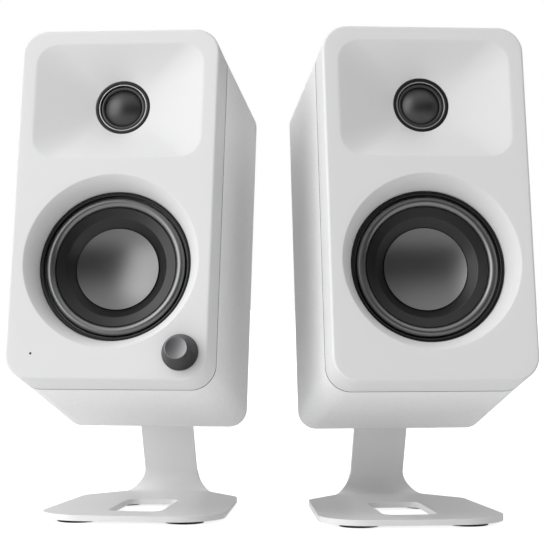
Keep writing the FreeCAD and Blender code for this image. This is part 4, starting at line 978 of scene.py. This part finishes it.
def roll_half(part, settings, outer):
    """Closed (radius, depth) profile of one half of the surround's roll, split at its crest.

    The roll is a circle arc about the middle of the two feet, of outer radius roll and inner radius
    roll less sheet; angles crowd towards the crest. The outer half has the flange under the ring.
    """
    roll, inner = settings.roll, settings.roll - settings.sheet
    foot = part.near + roll
    middle = part.outer - settings.land - inner
    angle = np.pi / 2 * np.sin(np.linspace(0, np.pi / 2, settings.roll_steps + 1))
    way = 1 if outer else -1
    outside = np.stack([middle + way * roll * np.cos(angle), foot - roll * np.sin(angle)], -1)
    inside = np.stack([middle + way * inner * np.cos(angle), foot - inner * np.sin(angle)], -1)[::-1]
    if outer:
        flange = [(inside[-1, 0], part.far), (part.outer, part.far), (part.outer, foot)]
    else:
        flange = [(inside[-1, 0], part.far), (outside[0, 0], part.far)]
    return np.concatenate([outside, inside, flange])


def spider_profile(part, settings):
    """Closed (radius, depth) profile of the spider, a thin dish with ripples round its middle.

    With a share that runs from 0 at the glued edge to 1 at the coil, the front's depth is the near
    depth plus the dish times the share, plus the ripple times what the share leaves of one and the
    sine of a whole number of turns.
    """
    ripples = settings.spider_ripples
    share = np.linspace(0, 1, RIPPLE_STEPS * ripples + 1)
    start = part.outer - settings.spider_flange
    radius = start + (part.inner - start) * share
    depth = part.near + settings.spider_dish * share
    depth += settings.spider_ripple * np.sin(TURN * ripples * share) * (1 - share)
    front = np.concatenate([[(part.outer, part.near)], np.stack([radius, depth], -1)])
    return sheet_profile(front, part.far - part.near)


def make_woofer(side, scene):
    """Make a woofer's ring, surround, cone, dust cap and spider."""
    settings = scene.speaker_driver
    cabinet = CABINETS[side]

    ring = RoundPart(side, "woofer_trim_ring")
    rigid_piece(ring, "woofer_ring", ring_profile(ring, settings.ring_edge), "cabinet", "ring_black")

    roll = RoundPart(side, "woofer_surround")
    axis_point = cabinet.place(roll.x, roll.far, roll.v)
    mirrored = cabinet.place(roll.x, 2 * roll.near - roll.far, roll.v)
    for half, bodies in (("outer", ("cabinet", "woofer_cone")), ("inner", ("woofer_cone", "cabinet"))):
        profile = roll_half(roll, settings, half == "outer")
        bent_piece(roll, "surround_" + half, profile,
                   side + "_surround_rubber")

    cone = RoundPart(side, "woofer_cone")
    sheet = settings.cone_sheet
    corners = [
        (cone.outer, cone.near),
        (cone.outer - settings.shoulder_width, cone.near + settings.shoulder_drop),
        (settings.foot_radius, cone.near + settings.foot_drop),
        (cone.inner, cone.far - sheet),
    ]
    front = rounded(corners, [0, settings.shoulder_bend, settings.foot_bend, 0], CONE_BEND_STEPS, False)
    rigid_piece(cone, "cone_surface", sheet_profile(front, sheet), "woofer_cone", "cone_dark")

    cap = RoundPart(side, "woofer_dust_cap")
    sheet = settings.sheet
    bowl = cap_profile(cap.outer, cap.near, cap.far - sheet, CAP_STEPS)
    profile = np.concatenate([(bowl + (0, sheet))[::-1], bowl])
    rigid_piece(cap, "cap_surface", profile, "woofer_cone", "cap_satin")

    spider = RoundPart(side, "woofer_spider")
    seat = cabinet.place(spider.x, spider.near, spider.v)
    middle = cabinet.place(spider.x, spider.near + settings.spider_dish, spider.v)
    bent_piece(spider, "spider_surface", spider_profile(spider, settings),
               "spider_cloth")


def make_tweeter(side, scene):
    """Make a tweeter's black and silver rings and its dome."""
    settings = scene.speaker_driver
    throat = scene.speaker_cabinet.throat_radius - scene.speaker_cabinet.ring_gap
    plate = RoundPart(side, "tweeter_faceplate")
    ring = RoundPart(side, "tweeter_trim_ring")
    edge = settings.fine_edge
    step = plate.near + settings.throat_land
    bore = throat - settings.throat_ring
    corners = [(bore, ring.far), (bore, plate.near), (throat, plate.near), (throat, step),
               (plate.outer, step), (plate.outer, plate.far), (plate.inner, plate.far),
               (plate.inner, ring.far)]
    profile = rounded(corners, [0, edge, edge, 0, 0, 0, 0, 0])
    rigid_piece(plate, "throat_ring", profile, "cabinet", "ring_black")
    rigid_piece(ring, "silver_ring", ring_profile(ring, edge), "cabinet", "ring_silver")

    dome = RoundPart(side, "tweeter_dome")
    radius = settings.dome_radius
    rim = dome.near + settings.dome_rise
    bowl = cap_profile(radius, rim, dome.near, CAP_STEPS)[::-1]
    half_roll = (dome.outer - radius) / 2
    roll = arc((radius + half_roll, rim), half_roll, -180, 0, DOME_ROLL_STEPS)[1:]
    profile = sheet_profile(np.concatenate([bowl, roll]), settings.dome_sheet)
    rigid_piece(dome, "dome_surface", profile, "tweeter_dome", "dome_silk")


# ---- knob and light

def make_controls(scene):
    """Make the volume knob and the power light."""
    settings = scene.speaker_knob
    cabinet = CABINETS["left"]
    knob = RoundPart("left", "volume_knob")
    tip, base, lip, edge = knob.near, knob.far, settings.lip, settings.edge
    side_line = [(knob.outer - edge, base), (knob.outer, base - edge), (settings.top_radius, tip + lip)]
    lip_round = arc((settings.top_radius - lip, tip + lip), lip, 0, -90, LIP_STEPS)
    dish = cap_profile(settings.top_radius - DISH_INSET * lip, tip, tip + settings.dish, DISH_STEPS)
    rows = np.linspace(0, 1, GRIP_STEPS + 1)[1:-1, None]
    grip = np.array(side_line[1]) + (np.array(side_line[2]) - side_line[1]) * rows
    bore = [(0, base - settings.bore_depth), (settings.bore, base - settings.bore_depth),
            (settings.bore, base)]
    profile = np.concatenate([bore, side_line[:2], grip, lip_round, dish])
    segments = settings.ribs * settings.rib_samples
    points, *faces = turned(cabinet, knob.x, knob.v, profile, segments)
    lengths = cabinet.lengths(points)
    arm = lengths[:, (0, 2)] - (knob.x, knob.v)
    radius = np.hypot(arm[:, 0], arm[:, 1])
    share = (base - lengths[:, 1]) / (base - tip)
    band = np.clip((share - settings.grip_start) / settings.grip_fade, 0, 1)
    band = band * np.clip((settings.grip_end - share) / settings.grip_fade, 0, 1)
    wave = 0.5 - 0.5 * np.cos(settings.ribs * np.arctan2(arm[:, 1], arm[:, 0]))
    outside = radius > settings.top_radius
    cut = settings.rib_height * wave * band * outside
    scale = (1 - cut / np.maximum(radius, MM))[:, None]
    arm = arm * scale + (knob.x, knob.v)
    points = cabinet.place(arm[:, 0], lengths[:, 1], arm[:, 1])
    piece = make_mesh("left_knob_surface", [(points, *faces)])
    piece.data.materials.append(MATERIALS["knob_dark"])
    centres = face_lengths(piece, cabinet)
    reach = np.hypot(centres[:, 0] - knob.x, centres[:, 2] - knob.v)
    inside = reach < settings.top_radius - SPUN_INSET * lip
    second_finish(piece, "knob_spun", inside & (centres[:, 1] < tip + settings.dish + lip))
    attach(piece, "left_volume_knob")
    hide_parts("left_volume_knob")

    light = RoundPart("left", "led_pipe")
    step = settings.lens_seat
    rise = cap_profile(settings.lens_radius, 0.0, -settings.lens_rise, LENS_STEPS)
    profile = [(0, light.far), (light.outer, light.far), (light.outer, step), (settings.lens_radius, step)]
    profile = np.concatenate([profile, rise])
    piece = make_mesh("left_light_lens", [turned(cabinet, light.x, light.v, profile, LENS_SEGMENTS)])
    finish_piece(piece, "left_cabinet", "light_pipe", "left_led_pipe")


# ---- stands

def divided(points, step):
    """A line of points with each run longer than the step divided evenly."""
    runs = []
    for start, end in zip(points, points[1:]):
        count = int(np.ceil(np.hypot(*(end - start)) / step))
        runs.append(start + (end - start) * np.arange(count)[:, None] / max(count, 1))
    return np.concatenate(runs + [points[-1:]])


def strap_path(side, settings):
    """Foot's level distance, and the (level distance, height) points up the strap's front.

    The line runs along the base's top, up the leaning strap and up the flange behind the pad, with
    arcs of the bend's radius at the foot and of radius plus plate at the corner.
    """
    cabinet, stand = CABINETS[side], STANDS[side]
    flange = cabinet.measure(side + "_stand_pad")[:, 1].max()
    ends = cabinet.place(0.0, flange, np.array([settings.flange_bottom, settings.flange_top]))
    corner, top = stand.lengths(ends)[:, 1:]
    base_top = settings.foot_height + settings.plate
    foot = corner[0] + (corner[1] - base_top) * np.tan(settings.lean)
    line = [(settings.front, base_top), (foot, base_top), corner, top]
    path = rounded(line, [0, settings.bend, settings.bend + settings.plate, 0], BEND_STEPS, False)
    return foot, path[1:]


def blank_width(settings, foot):
    """Half outline (half width, distance) of the flat blank from the rear corner to far up the strap.

    The slanted side meets the strap's side in an arc, which the bend at the foot then takes up.
    """
    half = settings.strap_width / 2
    corners = [(settings.rear_half_width, foot - settings.rear_setback), (half, foot + settings.neck_rise),
               (half, foot + settings.rear_setback)]
    return rounded(corners, [0, settings.neck, 0], NECK_STEPS, False)


def strap_surface(stand, settings, foot, path, columns):
    """Grid of the strap's front: each row is level across, and rows narrow as a circle at the top.

    A row's half width is the flat blank's at the length run up the path from the base. Within one
    corner radius of the top it is half less corner plus corner times the cosine of an angle whose
    sine gives the height.
    """
    corner, half = settings.strap_corner, settings.strap_width / 2
    up = unit(path[-1] - path[-2])
    angle = np.linspace(0, np.pi / 2, STRAP_CORNER_STEPS + 1)
    end = path[-1] - up * corner * (1 - np.sin(angle))[:, None]
    run = path[0, 0] + np.concatenate([[0], np.cumsum(np.hypot(*np.diff(path[:-1], axis=0).T))])
    blank = blank_width(settings, foot)
    width = np.concatenate([np.interp(run, blank[:, 1], blank[:, 0]), half - corner * (1 - np.cos(angle))])
    rows = np.concatenate([path[:-1], end])
    x = width[:, None] * np.linspace(-1, 1, columns)
    points = stand.place(x, rows[:, :1], rows[:, 1:])
    return points.reshape(-1, 3), grid_quads(len(rows), columns)


def base_surface(stand, settings, foot, join, columns):
    """Grid of the base's top between its outline and the slot, on rays from the slot's middle.

    The slot's distance at a ray's angle is interpolated round its finely divided outline.
    """
    blank = blank_width(settings, foot)
    half = np.interp(join, blank[:, 1], blank[:, 0])
    neck = blank[(blank[:, 1] < join) & (blank[:, 1] > foot - settings.rear_setback)]
    rear = (settings.rear_half_width, foot - settings.rear_setback)
    right = [(settings.front_half_width, settings.front), rear, *map(tuple, neck), (half, join)]
    left = [(-x, y) for x, y in reversed(right)]
    radii = [settings.bow, settings.front_corner, settings.rear_corner] + [0] * (len(neck) + 1)
    outline = rounded([(0, settings.nose), *right, *left], radii + radii[:0:-1], BEND_STEPS)
    last = int(np.argmin(np.hypot(outline[:, 0] - half, outline[:, 1] - join)))
    across = np.linspace(half, -half, columns)[1:-1]
    seam = np.stack([across, np.full(columns - 2, join)], -1)
    rest = np.concatenate([outline[last + 1:], outline[:1]])
    outline = np.concatenate([divided(outline[:last + 1], settings.sample), seam,
                              divided(rest, settings.sample)[:-1]])
    slot_rear = foot - settings.slot_setback
    width = settings.slot_half_width
    slot = rounded([(-width, settings.slot_front), (width, settings.slot_front), (width, slot_rear),
                    (-width, slot_rear)], [settings.slot_corner] * 4, SLOT_CORNER_STEPS)
    slot = divided(np.concatenate([slot, slot[:1]]), settings.sample / SLOT_FINENESS)[:-1]
    middle = np.array([0, (settings.slot_front + slot_rear) / 2])
    slot_arm, arm = slot - middle, outline - middle
    angle = np.arctan2(slot_arm[:, 1], slot_arm[:, 0])
    order = np.argsort(angle)
    reach = np.interp(np.arctan2(arm[:, 1], arm[:, 0]), angle[order],
                      np.hypot(slot_arm[:, 0], slot_arm[:, 1])[order], period=TURN)
    inner = arm / np.hypot(arm[:, 0], arm[:, 1])[:, None] * reach[:, None]
    share = np.linspace(0, 1, BASE_ROWS + 1)[:, None, None]
    grid = middle + inner + (arm - inner) * share
    height = settings.foot_height + settings.plate
    points = stand.place(grid[..., 0], grid[..., 1], np.array(height))
    return points.reshape(-1, 3), grid_quads(*grid.shape[:2], False, True)


def make_stand(side, scene):
    """Make a stand's bent plate and rubber feet."""
    settings = scene.speaker_stand
    stand = STANDS[side]
    foot, path = strap_path(side, settings)
    columns = int(np.ceil(settings.strap_width / settings.sample)) + 1
    parts = [base_surface(stand, settings, foot, path[0, 0], columns),
             strap_surface(stand, settings, foot, path, columns)]
    piece = make_mesh(side + "_stand_plate", parts, np.array([0.0, 0.0, 1.0]))
    plate = piece.modifiers.new("Plate", "SOLIDIFY")
    plate.thickness = settings.plate
    plate.offset = -1
    plate.use_even_offset = True
    edge = piece.modifiers.new("Edge", "BEVEL")
    edge.width = settings.edge
    edge.segments = 2
    edge.limit_method = "ANGLE"
    edge.angle_limit = np.radians(SHARP_BEND_DEG)
    edge.harden_normals = True
    finish_piece(piece, side + "_cabinet", "stand_metal", side + "_stand")

    upright = Directions(stand.origin, stand.lateral, stand.up, stand.depth)
    radius, soft = settings.foot_radius, settings.foot_edge
    corners = [(0, 0), (radius, 0), (radius, settings.foot_height), (0, settings.foot_height)]
    profile = rounded(corners, [0, soft, 0, 0], FOOT_EDGE_STEPS, False)
    places = [(way * half, y) for way in (-1, 1) for half, y in (
        (settings.front_foot_half, settings.front_foot),
        (settings.rear_foot_half, foot - settings.rear_foot_setback))]
    parts = [turned(upright, x, y, profile, FOOT_SEGMENTS) for x, y in places]
    piece = make_mesh(side + "_rubber_feet", parts)
    finish_piece(piece, side + "_cabinet", "pad_rubber", side + "_stand_feet")


# ---- parts that keep their frame shape

FRAME_FINISHES = {
    "rear_panel": "panel_plastic",
    "case_screws": "black_screws",
    "woofer_basket": "basket_steel",
    "woofer_voice_coil": "coil_copper",
    "woofer_magnet": "ferrite",
    "woofer_pole_pieces": "plated_steel",
    "tweeter_voice_coil": "coil_copper",
    "tweeter_motor": "plated_steel",
    "terminal_block": "socket_black",
    "terminal_lever_red": "lever_red",
    "terminal_lever_black": "lever_black",
    "stand_pad": "pad_rubber",
    "stand_screws": "black_screws",
    "encoder_shaft": "jack_metal",
    "encoder_body": "socket_black",
    "amp_board": "board_green",
    "crossover_board": "board_green",
    "rca_jacks": "jack_metal",
    "aux_jack": "socket_black",
    "dc_inlet": "socket_black",
    "power_rocker": "socket_black",
}


def finish_hardware(scene):
    """Give every part that keeps its frame shape its finish."""
    for name, node in frame["nodes"].items():
        label = name.split("_", 1)[1]
        if label in FRAME_FINISHES:
            node.data.materials.clear()
            node.data.materials.append(MATERIALS[FRAME_FINISHES[label]])


# ---- stage

def make_stage(scene):
    """Make the camera, the lights and the pale floor."""
    settings = scene.speaker_stage
    camera = bpy.data.cameras.new("camera")
    camera.lens = settings.focal_length
    camera.sensor_width = SENSOR_MM
    camera.clip_end = CLIP_END
    viewer = bpy.data.objects.new("camera", camera)
    viewer.location = (settings.offset, -settings.distance, settings.height)
    viewer.rotation_euler = (np.pi / 2, 0, 0)
    scene.collection.objects.link(viewer)
    scene.camera = viewer

    half = settings.floor_half
    floor = bpy.data.meshes.new("floor")
    floor.from_pydata([(-half, -half, 0), (half, -half, 0), (half, half, 0), (-half, half, 0)], [],
                      [(0, 1, 2, 3)])
    desk = bpy.data.objects.new("floor", floor)
    scene.collection.objects.link(desk)
    material = MATERIALS["floor_paper"]
    principled = material.node_tree.nodes["Principled BSDF"]
    tree = Tree(material.node_tree)
    seen = tree.add("LightPath", {}).outputs["Is Camera Ray"]
    glow = tree.math("MULTIPLY_ADD", seen, settings.floor_shine - settings.floor_glow, settings.floor_glow)
    tree.join(glow, principled.inputs["Emission Strength"])
    floor.materials.append(material)

    light = bpy.data.lights.new("key", "AREA")
    light.shape = "RECTANGLE"
    light.size, light.size_y = settings.key_width, settings.key_height
    light.energy = settings.key_power
    key = bpy.data.objects.new("key", light)
    side = settings.key_side
    key.location = (-settings.key_distance * np.sin(side), -settings.key_distance * np.cos(side),
                    settings.key_rise)
    aim = Vector((0, 0, settings.height)) - key.location
    key.rotation_euler = aim.to_track_quat("-Z", "Y").to_euler()
    scene.collection.objects.link(key)

    world = bpy.data.worlds.new("studio")
    world.use_nodes = True
    scene.world = world
    tree = Tree(world.node_tree)
    tree.tree.nodes.clear()
    heading = tree.add("TexCoord", {}).outputs["Generated"]
    leftward = tree.add("VectorMath", {0: heading, 1: settings.sky_heading}, operation="DOT_PRODUCT")
    level = tree.add("MapRange", {"Value": leftward.outputs["Value"], "From Min": settings.sky_start,
                                  "From Max": settings.sky_full,
                                  "To Min": settings.sky_right, "To Max": settings.sky_left},
                     interpolation_type="SMOOTHSTEP")
    upward = tree.add("SeparateXYZ", {0: heading}).outputs["Z"]
    overhead = tree.add("MapRange", {"Value": upward, "From Min": settings.sky_top_start, "From Max": 1.0,
                                     "To Min": 0.0, "To Max": settings.sky_top},
                        interpolation_type="SMOOTHSTEP")
    strength = tree.math("ADD", level.outputs[0], overhead.outputs[0])
    around = tree.add("Background", {"Color": (1, 1, 1, 1), "Strength": strength})
    seen = tree.add("Background", {"Color": (1, 1, 1, 1), "Strength": 1.0})
    path = tree.add("LightPath", {})
    blend = tree.add("MixShader", {0: path.outputs["Is Camera Ray"], 1: around.outputs[0],
                                   2: seen.outputs[0]})
    tree.add("OutputWorld", {"Surface": blend.outputs[0]})
    scene.view_settings.view_transform = "Standard"


# ---- operators, panel and registration

class BuildOperator:
    """Part of an operator that runs its own make function on the scene."""

    def execute(self, context):
        self.make(context.scene)
        return {"FINISHED"}


class PairOperator:
    """Part of an operator that runs its own make function on the scene for each of the two speakers."""

    def execute(self, context):
        for side in SIDES:
            self.make(side, context.scene)
        return {"FINISHED"}


class SPEAKERS_OT_finishes(BuildOperator, bpy.types.Operator):
    """Make every finish of the pair"""

    bl_idname = "speakers.finishes"
    bl_label = "Finishes"
    make = staticmethod(make_finishes)


class SPEAKERS_OT_fronts(PairOperator, bpy.types.Operator):
    """Make the two moulded fronts"""

    bl_idname = "speakers.fronts"
    bl_label = "Moulded fronts"
    make = staticmethod(make_front)


class SPEAKERS_OT_shells(PairOperator, bpy.types.Operator):
    """Make the two grained cabinet shells"""

    bl_idname = "speakers.shells"
    bl_label = "Cabinet shells"
    make = staticmethod(make_shell)


class SPEAKERS_OT_woofers(PairOperator, bpy.types.Operator):
    """Make each woofer's ring, surround, cone, dust cap and spider"""

    bl_idname = "speakers.woofers"
    bl_label = "Woofers"
    make = staticmethod(make_woofer)


class SPEAKERS_OT_tweeters(PairOperator, bpy.types.Operator):
    """Make each tweeter's black and silver rings and its dome"""

    bl_idname = "speakers.tweeters"
    bl_label = "Tweeters"
    make = staticmethod(make_tweeter)


class SPEAKERS_OT_controls(BuildOperator, bpy.types.Operator):
    """Make the volume knob and the power light"""

    bl_idname = "speakers.controls"
    bl_label = "Knob and light"
    make = staticmethod(make_controls)


class SPEAKERS_OT_stands(PairOperator, bpy.types.Operator):
    """Make each stand's bent plate and rubber feet"""

    bl_idname = "speakers.stands"
    bl_label = "Stands"
    make = staticmethod(make_stand)


class SPEAKERS_OT_hardware(BuildOperator, bpy.types.Operator):
    """Give every part that keeps its frame shape its finish"""

    bl_idname = "speakers.hardware"
    bl_label = "Rear and inner parts"
    make = staticmethod(finish_hardware)


class SPEAKERS_OT_stage(BuildOperator, bpy.types.Operator):
    """Make the camera, the lights and the pale floor"""

    bl_idname = "speakers.stage"
    bl_label = "Stage"
    make = staticmethod(make_stage)


SETTINGS = {
    "speaker_cabinet": SpeakerCabinetSettings,
    "speaker_driver": SpeakerDriverSettings,
    "speaker_knob": SpeakerKnobSettings,
    "speaker_stand": SpeakerStandSettings,
    "speaker_stage": SpeakerStageSettings,
}
OPERATORS = (
    SPEAKERS_OT_finishes,
    SPEAKERS_OT_fronts,
    SPEAKERS_OT_shells,
    SPEAKERS_OT_woofers,
    SPEAKERS_OT_tweeters,
    SPEAKERS_OT_controls,
    SPEAKERS_OT_stands,
    SPEAKERS_OT_hardware,
    SPEAKERS_OT_stage,
)


class SPEAKERS_PT_panel(bpy.types.Panel):
    """Buttons that build the pair, in order"""

    bl_idname = "SPEAKERS_PT_panel"
    bl_label = "Desktop Speakers"
    bl_space_type = "VIEW_3D"
    bl_region_type = "UI"
    bl_category = "Speakers"

    def draw(self, context):
        for operator in OPERATORS:
            self.layout.operator(operator.bl_idname)


CLASSES = (*SETTINGS.values(), *OPERATORS, SPEAKERS_PT_panel)


def register():
    """Register the classes and hang the settings on the scene."""
    for some in CLASSES:
        bpy.utils.register_class(some)
    for name, some in SETTINGS.items():
        setattr(bpy.types.Scene, name, PointerProperty(type=some))


def unregister():
    """Take the settings off the scene and unregister the classes."""
    for name in SETTINGS:
        delattr(bpy.types.Scene, name)
    for some in reversed(CLASSES):
        bpy.utils.unregister_class(some)


def main():
    register()
    for operator in OPERATORS:
        group, name = operator.bl_idname.split(".")
        getattr(getattr(bpy.ops, group), name)()


if __name__ == "__main__":
    main()
